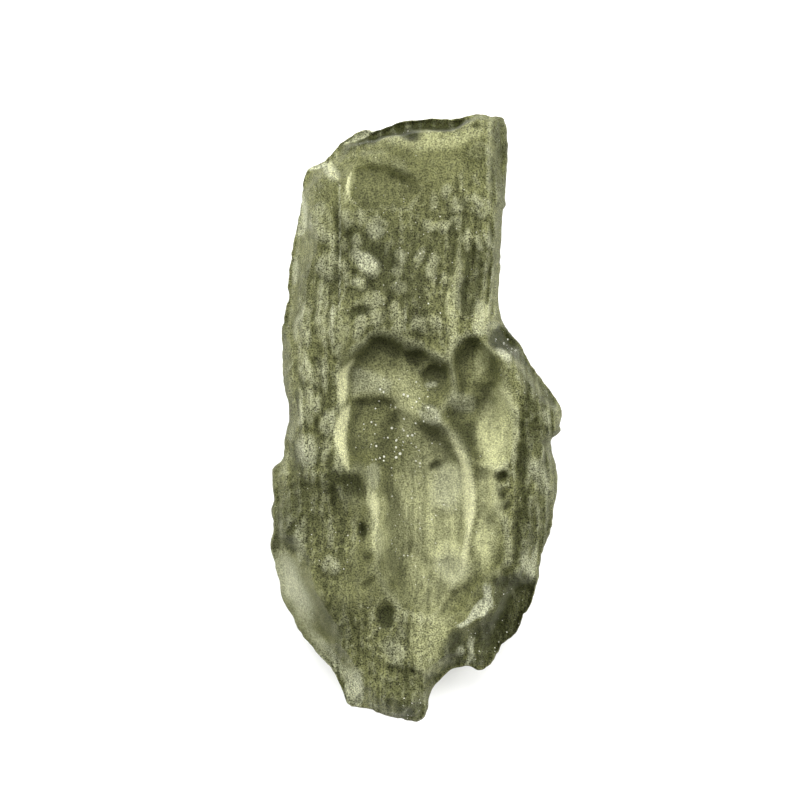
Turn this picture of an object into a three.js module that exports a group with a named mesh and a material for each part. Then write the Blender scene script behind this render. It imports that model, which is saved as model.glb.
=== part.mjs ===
// A moldavite: one natural splinter of green glass, fluted, pitted and scooped by slow etching.
// It lies on its back with the scooped face up. Millimetres, +Z up, +Y towards the broken end.
import * as THREE from "three";

// Driving dimensions of the stone
const RIM_HEIGHT = 2.85; // mean height of the outline above the surface that the stone lies on
const CROWN_HEIGHT = 4.05; // rise of the face above the outline
const CROWN_FALL = 0.9; // how much lower the face is at the two ends
const HALF_LENGTH = 18;
const FACE_SHOULDER = 2.3; // width of the rounded border of the face
const BACK_SHOULDER = 3.3; // width of the rounded border of the underside
const REST_SPOT = { x: -0.4, y: 0.1, halfWidth: 3.4, halfLength: 2.5 }; // flat spot that it lies on
const COLUMNS = 34; // faces across the stone
const ROWS = 72; // faces along the stone
const GLASS_COLOUR = 0x7d7f5f;

// The outline as four sides, each read in one direction; the corners are shared
const LEFT_SIDE = [
  [-3.9, -17.4], [-4.2, -17.1], [-4.5, -16.3], [-5.0, -15.3], [-5.8, -14.4], [-6.9, -13.1],
  [-7.4, -12.2], [-8.1, -11.0], [-8.3, -9.9], [-8.6, -8.6], [-8.8, -7.7], [-8.6, -6.8],
  [-8.75, -5.7], [-8.6, -5.0], [-8.75, -3.6], [-8.55, -2.95], [-8.1, -2.5], [-7.85, -1.0],
  [-7.65, 0.0], [-7.75, 1.0], [-8.0, 2.2], [-8.1, 4.5], [-8.1, 5.6], [-7.7, 7.2],
  [-7.75, 8.0], [-7.5, 10.0], [-7.1, 12.0], [-6.9, 13.0], [-6.85, 14.0], [-6.55, 14.9],
];
const RIGHT_SIDE = [
  [4.5, -14.9], [4.9, -14.3], [5.3, -13.6], [6.0, -13.0], [6.5, -12.0], [7.0, -11.0],
  [7.4, -9.6], [7.6, -8.2], [8.1, -7.0], [8.3, -6.4], [8.35, -5.3], [8.55, -4.3],
  [8.5, -3.4], [8.3, -2.4], [8.15, -1.4], [8.65, -0.95], [8.7, -0.2], [8.8, 0.45],
  [8.4, 1.1], [7.1, 2.95], [6.7, 3.5], [6.4, 4.2], [5.8, 4.9], [5.35, 5.5],
  [5.05, 6.3], [4.95, 7.2], [5.05, 8.5], [5.2, 12.1], [5.4, 12.8], [5.4, 14.0],
  [5.55, 16.2], [5.45, 17.6],
];
const LOWER_END = [
  [-3.9, -17.4], [-3.0, -17.5], [-2.0, -17.85], [-0.5, -18.25], [0.3, -18.25], [0.7, -17.5],
  [0.75, -16.9], [1.0, -16.3], [1.5, -15.7], [2.1, -15.15], [2.8, -15.0], [3.3, -15.05],
  [3.9, -15.25], [4.5, -14.9],
];
const UPPER_END = [
  [-6.55, 14.9], [-6.1, 15.2], [-5.5, 15.45], [-5.0, 15.95], [-4.6, 16.45], [-4.0, 16.9],
  [-3.0, 17.3], [-2.4, 17.25], [-0.8, 17.8], [0.3, 17.95], [2.4, 17.98], [3.8, 18.25],
  [4.6, 18.1], [5.15, 18.0], [5.45, 17.6],
];
const END_REACH = 4; // how fast the shape of an end fades out along the stone
const CROWDING = 0.6; // how much closer the faces lie near the outline

// Large hollows of the face: depth, width of the wall, how much steeper the wall is under the
// upper lip, and the closed lip. Where two meet, the deeper one wins and an edge stands between them.
const HOLLOWS = [
  { depth: 1.4, wall: 1.3, steepness: 0.3, lip: [ // the two scoops at the left
    [-4.85, 2.2], [-4.6, 3.0], [-3.9, 3.75], [-3.3, 4.3], [-2.7, 4.85], [-1.8, 4.95],
    [-0.9, 4.55], [-0.3, 4.2], [0.4, 4.1], [1.2, 3.5], [2.2, 3.0], [2.5, 1.6], [2.0, 0.6],
    [1.35, -0.4], [1.2, -2.5], [0.4, -4.4], [-1.2, -4.6], [-2.5, -3.6], [-3.6, -3.0], [-4.1, -3.3],
    [-4.6, -2.4], [-4.9, -1.2], [-4.85, -0.2], [-4.6, 0.6], [-4.8, 1.2]] },
  { depth: 1.8, wall: 1.4, steepness: 0.3, lip: [ // the long almond in the middle
    [-1.0, 1.0], [0.0, 0.6], [0.6, 0.15], [1.2, -0.25], [2.0, -0.8], [2.7, -1.7],
    [3.2, -2.8], [3.5, -3.8], [3.6, -5.0], [3.5, -6.2], [3.2, -7.2], [3.05, -8.2],
    [3.0, -9.0], [2.8, -9.8], [2.2, -10.6], [1.6, -11.4], [0.6, -11.9], [-0.6, -11.6],
    [-1.4, -10.8], [-1.95, -9.9], [-2.3, -8.8], [-2.2, -7.6], [-2.45, -6.2],
    [-2.65, -4.9], [-2.75, -4.2], [-3.0, -3.2], [-3.1, -1.8], [-2.6, -0.2], [-1.9, 0.7]] },
  { depth: 0.9, wall: 0.9, steepness: 0.3, lip: [ // the band along the almond's right lip
    [2.9, -2.3], [4.1, -2.7], [4.65, -3.2], [4.75, -4.2], [4.6, -5.4], [5.1, -6.2],
    [5.35, -7.5], [5.2, -8.9], [4.4, -9.4], [3.7, -10.3], [2.5, -11.6], [1.2, -12.0],
    [1.6, -10.2], [2.3, -8.5], [2.7, -7.0], [2.9, -5.6], [2.9, -4.0]] },
  { depth: 1.2, wall: 1.1, steepness: 0.3, lip: [ // the upper scoop at the right
    [2.1, 3.9], [2.6, 4.5], [3.2, 4.85], [3.8, 4.55], [4.35, 3.95], [4.85, 3.2],
    [5.15, 2.0], [4.8, 0.8], [3.6, 0.0], [2.4, 0.0], [1.9, 1.2], [1.9, 3.0]] },
  { depth: 1.5, wall: 1.5, steepness: 0.3, lip: [ // the lower scoop at the right
    [3.8, 2.0], [4.6, 2.05], [5.0, 1.6], [5.5, 0.8], [5.95, 0.0], [6.1, -1.0],
    [5.9, -2.0], [5.5, -2.7], [4.7, -3.05], [3.5, -3.15], [2.7, -2.5], [2.1, -1.6],
    [1.5, -0.8], [1.2, 0.2], [2.0, 1.1], [3.1, 1.6]] },
  { depth: 1.0, wall: 0.9, steepness: 0.3, lip: [ // the dark cleft left of the almond
    [-4.7, -3.1], [-3.9, -3.15], [-3.2, -3.1], [-2.9, -3.6], [-2.75, -4.5], [-2.9, -5.0],
    [-3.8, -4.9], [-4.8, -4.5], [-5.7, -4.1], [-5.3, -3.7]] },
  { depth: 1.2, wall: 1.2, steepness: 0.3, lip: [ // the broken corner at the lower right
    [4.4, -9.7], [5.6, -9.3], [6.9, -9.4], [7.2, -10.4], [6.4, -12.2], [5.6, -13.6],
    [4.6, -14.7], [3.4, -14.8], [2.2, -14.8], [1.7, -13.9], [2.1, -12.8], [3.0, -12.4],
    [4.1, -11.7], [4.5, -10.6]] },
];

// Steps sunk into the floors of those hollows, in the same terms
const STEPS = [
  { depth: 0.45, wall: 1.2, steepness: 0.6, lip: [
    [-3.9, 3.5], [-2.7, 4.75], [-1.0, 4.4], [-0.7, 3.4], [-1.2, 2.3], [-2.4, 2.2], [-3.3, 2.6]] },
  { depth: 0.45, wall: 1.3, steepness: 0.8, lip: [
    [-3.9, 1.05], [-2.8, 1.2], [-1.4, 1.05], [-0.9, 0.2], [-0.9, -1.2], [-1.6, -2.4],
    [-2.9, -2.9], [-3.9, -2.6], [-4.25, -1.0]] },
  { depth: 0.35, wall: 0.5, steepness: 0.6, lip: [[-0.8, 3.95], [0.3, 3.9], [0.35, 3.0], [-0.6, 3.0]] },
  { depth: 0.45, wall: 1.0, steepness: 0.7, lip: [
    [0.1, 2.5], [0.8, 3.1], [1.6, 2.9], [1.9, 2.2], [1.6, 1.4], [0.8, 1.2], [0.2, 1.7]] },
  { depth: 0.4, wall: 1.2, steepness: 0.8, lip: [
    [3.4, 1.9], [4.0, 2.0], [4.7, 2.05], [5.0, 1.4], [5.2, 0.4], [5.0, -1.3], [4.2, -2.0],
    [3.4, -0.8], [3.1, 0.8]] },
  { depth: 0.25, wall: 0.6, steepness: 0, lip: [
    [-0.4, -7.2], [0.6, -8.2], [1.4, -9.1], [0.6, -9.0], [-0.4, -8.6], [-1.0, -9.6],
    [-1.8, -8.6], [-1.9, -6.0], [-1.6, -4.0], [-1.0, -4.6]] },
  { depth: 0.3, wall: 0.9, steepness: 0.7, lip: [
    [-2.0, -14.75], [-0.9, -14.75], [0.2, -15.0], [0.3, -16.0], [-0.4, -16.8], [-1.6, -16.4],
    [-1.9, -15.6]] },
];

// Shallow ovals: x, y, half width, half length, turn in degrees, depth, steepness of the upper wall
const OVALS = [
  [-2.0, 13.6, 2.4, 1.5, 0, 0.6, 0.1],
  [-4.9, 15.1, 0.95, 1.0, 20, 0.5, 0.2],
  [4.95, 15.7, 0.75, 2.3, 0, 0.55, 0.1],
  [5.5, 4.35, 1.0, 0.8, -30, 0.7, 0.4],
  [-4.9, -11.5, 1.1, 1.1, 0, 0.35, 0.4],
  [-0.2, -17.7, 0.9, 0.9, 0, 0.6, 0.2],
  [7.1, -0.7, 1.0, 1.6, -35, 0.45, 0.3],
  [7.3, -4.3, 1.0, 1.8, 0, 0.5, 0.3],
  [7.0, -7.8, 0.9, 1.6, 15, 0.45, 0.3],
  [6.7, 2.0, 0.9, 1.5, -35, 0.4, 0.3],
];

// Pits sunk into whatever lies under them, in the same terms
const PITS = [
  [-1.7, -12.0, 0.6, 0.85, 0, 0.8, 0.3],
  [-3.4, -6.65, 0.4, 0.6, 0, 0.6, 0.3],
  [5.2, -3.35, 0.55, 0.35, 0, 0.55, 0.4],
  [4.9, -4.5, 0.35, 0.55, 0, 0.45, 0.3],
  [5.05, -5.25, 0.35, 0.4, 0, 0.45, 0.3],
  [-0.3, 16.8, 0.55, 0.4, 0, 0.5, 0.3],
];

// Lumps that stand up from the face: x, y, half width, half length, turn, height
const LUMPS = [
  [1.75, -4.3, 1.0, 1.3, 0, 0.45],
  [2.2, -8.8, 1.1, 1.2, 0, 0.4],
  [0.1, -10.3, 1.2, 0.9, 0, 0.25],
  [-6.6, 5.2, 0.5, 1.2, -10, 0.4],
  [-6.4, 2.5, 0.5, 0.6, 0, 0.35],
  [-6.4, 0.7, 0.6, 0.95, 0, 0.4],
  [-6.35, -1.9, 0.6, 0.95, -5, 0.5],
  [-4.5, 5.2, 0.55, 1.3, 0, 0.4],
  [-5.5, 11.5, 0.7, 1.1, 0, 0.4],
  [-5.35, 8.9, 0.6, 0.8, 0, 0.45],
  [-2.3, 11.3, 0.65, 0.45, 0, 0.35],
  [-3.0, 9.2, 0.8, 0.65, -25, 0.45],
  [-2.7, 7.1, 0.55, 0.55, 0, 0.4],
  [-2.6, 6.0, 0.5, 0.55, 0, 0.35],
  [3.9, 6.0, 0.5, 0.95, 0, 0.4],
  [3.7, 12.5, 0.7, 0.55, 0, 0.3],
  [-4.9, -8.8, 0.5, 0.5, 0, 0.35],
];

// Long furrows and long ridges: half width, depth or height, and the bent line that each follows
const FURROWS = [
  [0.35, 0.24, [[-4.8, 14.2], [-4.7, 11.5], [-4.75, 9.0], [-4.6, 6.5]]],
  [0.35, 0.24, [[-5.9, 8.8], [-5.9, 6.0], [-5.9, 3.5], [-5.7, 0.5], [-5.7, -3.8]]],
  [0.55, 0.36, [[3.4, 10.3], [3.05, 7.5], [3.0, 4.9]]],
  [0.5, 0.42, [[6.6, 2.6], [6.4, 0.0], [6.25, -3.0], [6.1, -6.0], [5.8, -9.0]]],
  [0.35, 0.21, [[0.9, 4.4], [0.3, 7.0], [0.1, 10.2]]],
];
const RIDGES = [
  [0.35, 0.32, [[2.8, 11.4], [2.4, 8.0], [2.2, 6.0], [2.1, 4.2]]],
  [0.35, 0.3, [[4.2, 4.2], [5.1, 3.6], [5.6, 2.7]]],
  [0.35, 0.3, [[8.2, -1.4], [7.2, -2.5], [6.5, -3.8], [6.2, -5.0]]],
];

// Parts of the face, as turned ellipses: x, y, half width, half length, turn in degrees
const LEFT_MARGIN = [-6.6, -5.5, 2.4, 8.0, 0];
const RIGHT_MARGIN = [6.9, -4.0, 1.7, 8.0, 0];
const LOWER_PART = [-2.0, -14.2, 3.6, 3.0, 0];
const UPPER_PART = [-0.6, 8.4, 4.4, 4.4, 0];
const UPPER_LEFT = [-5.7, 3.5, 1.2, 9.0, 0];
const SMOOTH_CHAMFER = [-7.0, -11, 1.6, 3.0, 25];
const ROUGH_BREAK = [5.0, -12.4, 2.0, 2.6, -28];

const SOFT_BORDER = 0.7; // share of an ellipse over which its part of the face fades out
const SHARP_BORDER = 0.4;

// Small scoops and cobbles side by side: width, length, lean and which pattern
const LONG_SCOOPS = { width: 1.15, length: 2.8, lean: 0.05, kind: 3 };
const ROUGH_CHIPS = { width: 0.9, length: 1.2, lean: 0.3, kind: 5 };
const COBBLES = { width: 0.95, length: 1.15, lean: 0, kind: 8 };
const LONG_COBBLES = { width: 0.95, length: 1.9, lean: 0.03, kind: 4 };
const BACK_SCOOPS = { width: 1.7, length: 3.4, lean: 0.1, kind: 21 };
const SMALL_BACK_SCOOPS = { width: 0.9, length: 1.5, lean: 0.1, kind: 25 };

// Depths and heights of those small forms
const LEFT_SCOOP_DEPTH = 0.6;
const RIGHT_SCOOP_DEPTH = 0.5;
const LOWER_SCOOP_DEPTH = 0.35;
const CHIP_DEPTH = 0.45;
const COBBLE_HEIGHT = 0.3;
const BACK_SCOOP_DEPTH = 0.45;
const SMALL_BACK_SCOOP_DEPTH = 0.22;

const RELIEF_FADE = 0.45; // width along the outline over which the relief of the face fades out
const FULL_RELIEF_RISE = 1.8; // rise of the crown from which the relief has its full depth
const THINNEST_RISE = 0.3; // least rise of the face above the outline
const LUMP_FOOT = 2.8; // where a lump ends: the fourth power of the radius, in its half widths
const BACK_FADE = 0.7; // width along the outline over which the relief of the underside fades out
const BACK_BOW = { across: 0.008, along: 0.003 }; // rise of the underside per square millimetre
const SPOT_BORDER = 1.6; // where the underside is fully hollowed, in half widths of the resting spot

// Facets that cut the border of the face: the area of each (x, y, half width, half length, turn),
// its width from the outline, its rise over that width, and how hollow it is (1 is straight)
const FACETS = [
  { area: [-7.2, -10.6, 2.3, 3.4, 25], width: 2.0, rise: 3.0, hollow: 1.7 },
  { area: [-5.0, -15.2, 1.5, 3.2, 33], width: 1.2, rise: 2.2, hollow: 1.6 },
  { area: [-7.4, 9.5, 1.5, 5.2, 8], width: 1.0, rise: 2.4, hollow: 1.1 },
  { area: [-6.0, 15.2, 2.2, 0.9, 40], width: 0.8, rise: 2.2, hollow: 1.2 },
  { area: [-0.6, 17.6, 4.2, 0.9, 12], width: 1.0, rise: 3.3, hollow: 3.5 },
  { area: [7.2, 2.6, 1.2, 2.6, 52], width: 0.7, rise: 2.6, hollow: 1.2 },
  { area: [6.3, -12.4, 1.6, 2.6, -30], width: 1.6, rise: 2.6, hollow: 1.3 },
  { area: [2.6, -15.2, 2.0, 1.1, 0], width: 0.9, rise: 2.2, hollow: 1.2 },
];

// Broad hollows of the underside, in the same terms as those of the face
const BACK_BOWLS = [
  [-3.5, 9.5, 3.2, 4.2, 15, 0.9, 0.2],
  [2.6, 6.5, 2.6, 3.6, -12, 0.8, -0.2],
  [1.5, 13.5, 3.0, 2.8, 20, 0.8, 0.2],
  [-1.0, 5.0, 2.6, 2.0, 0, 0.5, 0.2],
  [0.5, -4.8, 2.4, 2.2, 10, 0.6, 0.2],
  [4.6, -4.5, 2.6, 4.6, 8, 0.95, 0.2],
  [-5.4, -4.0, 2.4, 4.2, -8, 0.8, -0.2],
  [1.0, -9.5, 3.0, 3.6, 20, 0.9, 0.2],
  [-3.6, -12.0, 2.4, 3.0, 30, 0.7, 0.2],
  [5.8, 1.2, 1.8, 2.4, 40, 0.6, 0.0],
];

// Slow waves that keep the stone uneven: height, turns across, turns along (radians per mm), start
const RIM_WAVES = [[0.4, 0, 0.28, 0.9], [0.25, 0.55, 0.3, 0], [0.15, 0.7, 0.9, 1]];
const FACE_WAVES = [
  [0.15, 0.9, 0.35, 1.0], [0.12, -0.5, 0.8, 2.2], [0.08, 1.7, -0.6, 0.5], [0.07, 0.8, 1.5, 4.0],
];
const SHOULDER_WAVE = [[0.8, 0.5, 0.55, 1.5]];
const BACK_SHOULDER_WAVE = [[0.9, -0.4, 0.5, 0]];
const PUSH_ACROSS = [[0.2, 0.6, 0.85, 0.4], [0.09, -1.1, 2.1, 2.0]];
const PUSH_ALONG = [[0.18, 1, -0.45, 1.3], [0.09, 2.4, 0.9, 0.2]];

const clamp = THREE.MathUtils.clamp;
const easeBetween = THREE.MathUtils.smoothstep;

// A smooth curve through points that are given as [x, y]
function curveThrough(points) {
  const curve = new THREE.CatmullRomCurve3(
    points.map(([x, y]) => new THREE.Vector3(x, y, 0)), false, "catmullrom", 0.5);
  curve.arcLengthDivisions = 600;
  return curve;
}

// The point of a side at a share of its height, read off a fine polyline of that side
function pointAtHeight(polyline, share) {
  const last = polyline[polyline.length - 1];
  const y = THREE.MathUtils.lerp(polyline[0].y, last.y, share);
  const next = polyline.findIndex((point) => point.y >= y);
  if (next <= 0) {
    return next === 0 ? polyline[0].clone() : last.clone();
  }
  const before = polyline[next - 1];
  const after = polyline[next];
  return before.clone().lerp(after, (y - before.y) / (after.y - before.y));
}

// Even steps from 0 to 1, drawn closer together towards both ends
function crowdedSteps(count) {
  const steps = [];
  for (let i = 0; i <= count; i += 1) {
    const t = i / count;
    steps.push((1 - CROWDING) * t + (CROWDING * (1 - Math.cos(Math.PI * t))) / 2);
  }
  return steps;
}

// The plan: straight lines run from side to side, and each end's own shape fades out along the stone
function planPoints() {
  const across = crowdedSteps(COLUMNS);
  const along = crowdedSteps(ROWS);
  const leftLine = curveThrough(LEFT_SIDE).getPoints(600);
  const rightLine = curveThrough(RIGHT_SIDE).getPoints(600);
  const lowerCurve = curveThrough(LOWER_END);
  const upperCurve = curveThrough(UPPER_END);
  const lower = across.map((u) => lowerCurve.getPointAt(u));
  const upper = across.map((u) => upperCurve.getPointAt(u));
  const left = along.map((v) => pointAtHeight(leftLine, v));
  const right = along.map((v) => pointAtHeight(rightLine, v));
  return along.map((v, row) => across.map((u, column) => {
    const point = left[row].clone().lerp(right[row], u);
    const lowerStep = lower[column].clone().sub(left[0].clone().lerp(right[0], u));
    const upperStep = upper[column].clone().sub(left[ROWS].clone().lerp(right[ROWS], u));
    point.addScaledVector(lowerStep, (1 - v) ** END_REACH);
    point.addScaledVector(upperStep, v ** END_REACH);
    return point;
  }));
}

// Nearest distance from a point to a polyline, and the share of its length where that point lies
function nearestOnLine(x, y, line) {
  let best = Infinity;
  let share = 0;
  for (let i = 0; i + 1 < line.length; i += 1) {
    const dx = line[i + 1].x - line[i].x;
    const dy = line[i + 1].y - line[i].y;
    const along = (x - line[i].x) * dx + (y - line[i].y) * dy;
    const t = clamp(along / (dx * dx + dy * dy), 0, 1);
    const distance = Math.hypot(x - line[i].x - t * dx, y - line[i].y - t * dy);
    if (distance < best) {
      best = distance;
      share = (i + t) / (line.length - 1);
    }
  }
  return { distance: best, share };
}

// A place in the terms of a turned ellipse: 1 along either half axis is its lip
function inEllipse(x, y, [cx, cy, halfWidth, halfLength, turn]) {
  const angle = THREE.MathUtils.degToRad(turn);
  const p = ((x - cx) * Math.cos(angle) + (y - cy) * Math.sin(angle)) / halfWidth;
  const q = ((y - cy) * Math.cos(angle) - (x - cx) * Math.sin(angle)) / halfLength;
  return { p, q };
}

// For a closed line: the distance in from it, 0 outside, and how far upward its nearest point lies.
// A place is inside where a level line from it crosses the closed line an odd number of times.
function lipDistance(x, y, ring) {
  let best = Infinity;
  let up = 0;
  let inside = false;
  for (let i = 0; i + 1 < ring.length; i += 1) {
    const { x: ax, y: ay } = ring[i];
    const { x: bx, y: by } = ring[i + 1];
    const along = (x - ax) * (bx - ax) + (y - ay) * (by - ay);
    const t = clamp(along / ((bx - ax) ** 2 + (by - ay) ** 2), 0, 1);
    const toX = ax + t * (bx - ax) - x;
    const toY = ay + t * (by - ay) - y;
    const distance = Math.hypot(toX, toY);
    if (distance < best) {
      best = distance;
      up = toY / Math.max(distance, 1e-9);
    }
    if ((ay > y) !== (by > y) && x < ax + ((y - ay) * (bx - ax)) / (by - ay)) {
      inside = !inside;
    }
  }
  return { away: inside ? best : 0, up };
}

// Depth inside a lip: it grows along a parabola down to the foot of the wall
function hollowDepth(x, y, { depth, wall, steepness, ring }) {
  const { away, up } = lipDistance(x, y, ring);
  const share = clamp(away / (wall * (1 - steepness * up)), 0, 1);
  return depth * (1 - (1 - share) ** 2);
}

// Depth of a bowl: its upper wall is steep with a sharp lip, and its lower end runs out softly
function bowlDepth(x, y, bowl) {
  const { p, q } = inEllipse(x, y, bowl);
  const [, , , , , depth, steepness] = bowl;
  const inside = Math.max(0, 1 - p * p - q * q);
  const softness = 1.1 + 0.9 * clamp(-q, 0, 1);
  return depth * inside ** softness * (1 + steepness * q);
}

// Height of a lump, whose top is broad
function lumpHeight(x, y, lump) {
  const { p, q } = inEllipse(x, y, lump);
  return lump[5] * Math.max(0, 1 - (p * p + q * q) ** 2 / LUMP_FOOT);
}

// Depth of a furrow (or height of a ridge): round across, and pointed at both ends
function furrowDepth(x, y, { halfWidth, depth, line }) {
  const { distance, share } = nearestOnLine(x, y, line);
  const spindle = Math.sqrt(Math.max(Math.sin(Math.PI * share), 1e-4));
  return depth * spindle * Math.max(0, 1 - (distance / (halfWidth * spindle)) ** 2);
}

// 1 inside a turned ellipse and 0 well outside it, with a soft border
function area(x, y, ellipse, softness) {
  const { p, q } = inEllipse(x, y, ellipse);
  const t = clamp((1 + softness / 2 - Math.hypot(p, q)) / softness, 0, 1);
  return t * t * (3 - 2 * t);
}

// A fixed number from 0 to 1 for a cell of the lattice
function cellNumber(i, j, kind) {
  const value = Math.sin(i * 127.1 + j * 311.7 + kind * 74.7) * 43758.5453;
  return value - Math.floor(value);
}

// Small scoops side by side on an uneven lattice, 0 at the ridges between them and up to 1 deep
function scoopField(x, y, { width, length, lean, kind }) {
  const gx = (x + lean * y) / width;
  const gy = y / length;
  let deepest = 0;
  for (const di of [-1, 0, 1]) {
    for (const dj of [-1, 0, 1]) {
      const i = Math.floor(gx) + di;
      const j = Math.floor(gy) + dj;
      const cx = i + 0.5 + 0.7 * (cellNumber(i, j, kind) - 0.5);
      const cy = j + 0.5 + 0.7 * (cellNumber(i, j, kind + 1) - 0.5);
      const radius = 0.85 * (0.75 + 0.5 * cellNumber(i, j, kind + 2));
      const depth = 0.5 + 0.5 * cellNumber(i, j, kind + 3);
      const reach = ((gx - cx) ** 2 + (gy - cy) ** 2) / radius ** 2;
      deepest = Math.max(deepest, depth * (1 - reach));
    }
  }
  return deepest;
}

// A sum of slow sine waves, each given as height, turns across, turns along and start
function waves(x, y, list) {
  return list.reduce((sum, [size, across, along, start]) => (
    sum + size * Math.sin(across * x + along * y + start)), 0);
}

// The same place, pushed about a little, so that no hollow is a true ellipse
function bent(x, y) {
  return { x: x + waves(x, y, PUSH_ACROSS), y: y + waves(x, y, PUSH_ALONG) };
}

// Rounded border: 0 at the outline and 1 at its full width further in
function shoulder(edge, width) {
  const t = clamp(edge / width, 0, 1);
  return Math.sqrt(1 - (1 - t) ** 2);
}

// Height of the outline above the surface that the stone lies on
function rimHeight(x, y) {
  return RIM_HEIGHT + waves(x, y, RIM_WAVES);
}

// Lips, furrows and ridges with their lines made smooth once
const withRing = (one) => (
  { ...one, ring: curveThrough([...one.lip, one.lip[0]]).getSpacedPoints(5 * one.lip.length) });
const hollowRings = HOLLOWS.map(withRing);
const stepRings = STEPS.map(withRing);
const furrowLines = FURROWS.map(([halfWidth, depth, points]) => (
  { halfWidth, depth, line: curveThrough(points).getSpacedPoints(8) }));
const ridgeLines = RIDGES.map(([halfWidth, depth, points]) => (
  { halfWidth, depth, line: curveThrough(points).getSpacedPoints(8) }));

// The crown with the facets cut into its border, above the outline
function crownHeight(x, y, edge) {
  const face = CROWN_HEIGHT - CROWN_FALL * ((y - 1.5) / HALF_LENGTH) ** 2 + waves(x, y, FACE_WAVES);
  let height = face * shoulder(edge, FACE_SHOULDER + waves(x, y, SHOULDER_WAVE));
  for (const facet of FACETS) {
    const cut = facet.rise * (edge / facet.width) ** facet.hollow;
    height -= area(x, y, facet.area, SHARP_BORDER) * Math.max(0, height - cut);
  }
  return height;
}

// How deep the face is hollowed, where x and y are the place and bend is the same place bent
function faceHollow(x, y, bend) {
  const chamfer = area(bend.x, bend.y, SMOOTH_CHAMFER, SHARP_BORDER);
  const margins = Math.max(
    LEFT_SCOOP_DEPTH * area(bend.x, bend.y, LEFT_MARGIN, SOFT_BORDER) * (1 - chamfer),
    RIGHT_SCOOP_DEPTH * area(bend.x, bend.y, RIGHT_MARGIN, SOFT_BORDER),
    LOWER_SCOOP_DEPTH * area(bend.x, bend.y, LOWER_PART, SOFT_BORDER));
  let hollow = margins * scoopField(bend.x, bend.y, LONG_SCOOPS);
  for (const one of hollowRings) {
    hollow = Math.max(hollow, hollowDepth(x, y, one));
  }
  for (const oval of OVALS) {
    hollow = Math.max(hollow, bowlDepth(bend.x, bend.y, oval));
  }
  for (const step of stepRings) {
    hollow += hollowDepth(x, y, step);
  }
  for (const pit of PITS) {
    hollow += bowlDepth(bend.x, bend.y, pit);
  }
  for (const furrow of furrowLines) {
    hollow += furrowDepth(x, y, furrow);
  }
  const broken = area(bend.x, bend.y, ROUGH_BREAK, SHARP_BORDER);
  return hollow + CHIP_DEPTH * broken * scoopField(bend.x, bend.y, ROUGH_CHIPS);
}

// How far lumps, cobbles and ridges stand up from the face at the same place
function faceRaised(x, y, bend) {
  let raised = Math.max(...LUMPS.map((lump) => lumpHeight(bend.x, bend.y, lump)));
  const upper = area(bend.x, bend.y, UPPER_PART, SOFT_BORDER);
  const upperLeft = area(bend.x, bend.y, UPPER_LEFT, SOFT_BORDER);
  raised += COBBLE_HEIGHT * upper * scoopField(bend.x, bend.y, COBBLES);
  raised += COBBLE_HEIGHT * upperLeft * scoopField(bend.x, bend.y, LONG_COBBLES);
  for (const ridge of ridgeLines) {
    raised += furrowDepth(x, y, ridge);
  }
  return raised;
}

// Rise above the crown, less the depth below it, at a place of the face
function faceRelief(x, y) {
  const bend = bent(x, y);
  return faceRaised(x, y, bend) - faceHollow(x, y, bend);
}

// Each value of a grid blended with its neighbours, which keeps small faces from standing up
function blended(grid) {
  return grid.map((line, row) => line.map((value, column) => {
    const above = grid[Math.max(row - 1, 0)][column];
    const below = grid[Math.min(row + 1, grid.length - 1)][column];
    const before = line[Math.max(column - 1, 0)];
    const after = line[Math.min(column + 1, line.length - 1)];
    return (4 * value + above + below + before + after) / 8;
  }));
}

// Height of the scooped face
function faceHeight(x, y, edge, relief) {
  const bend = bent(x, y);
  const crown = crownHeight(bend.x, bend.y, edge);
  const reach = easeBetween(edge, 0, RELIEF_FADE) * clamp(crown / FULL_RELIEF_RISE, 0, 1);
  const thinnest = THINNEST_RISE * shoulder(edge, FACE_SHOULDER);
  return rimHeight(x, y) + Math.max(crown + reach * relief, thinnest);
}

// Height of the underside, which is exactly flat on the spot that the stone lies on
function backHeight(x, y, edge) {
  const place = bent(x, y);
  const bow = BACK_BOW.across * (place.x - REST_SPOT.x) ** 2 + BACK_BOW.along * place.y ** 2;
  let hollow = Math.max(
    BACK_SCOOP_DEPTH * scoopField(place.x, place.y, BACK_SCOOPS),
    SMALL_BACK_SCOOP_DEPTH * scoopField(place.x, place.y, SMALL_BACK_SCOOPS));
  for (const bowl of BACK_BOWLS) {
    hollow = Math.max(hollow, bowlDepth(place.x, place.y, bowl));
  }
  const spot = [REST_SPOT.x, REST_SPOT.y, REST_SPOT.halfWidth, REST_SPOT.halfLength, 0];
  const { p, q } = inEllipse(place.x, place.y, spot);
  const away = easeBetween(Math.hypot(p, q), 1, SPOT_BORDER);
  const width = BACK_SHOULDER + waves(place.x, place.y, BACK_SHOULDER_WAVE);
  const border = rimHeight(x, y) * (1 - shoulder(edge, width));
  return border + away * easeBetween(edge, 0, BACK_FADE) * (bow + hollow);
}

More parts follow.
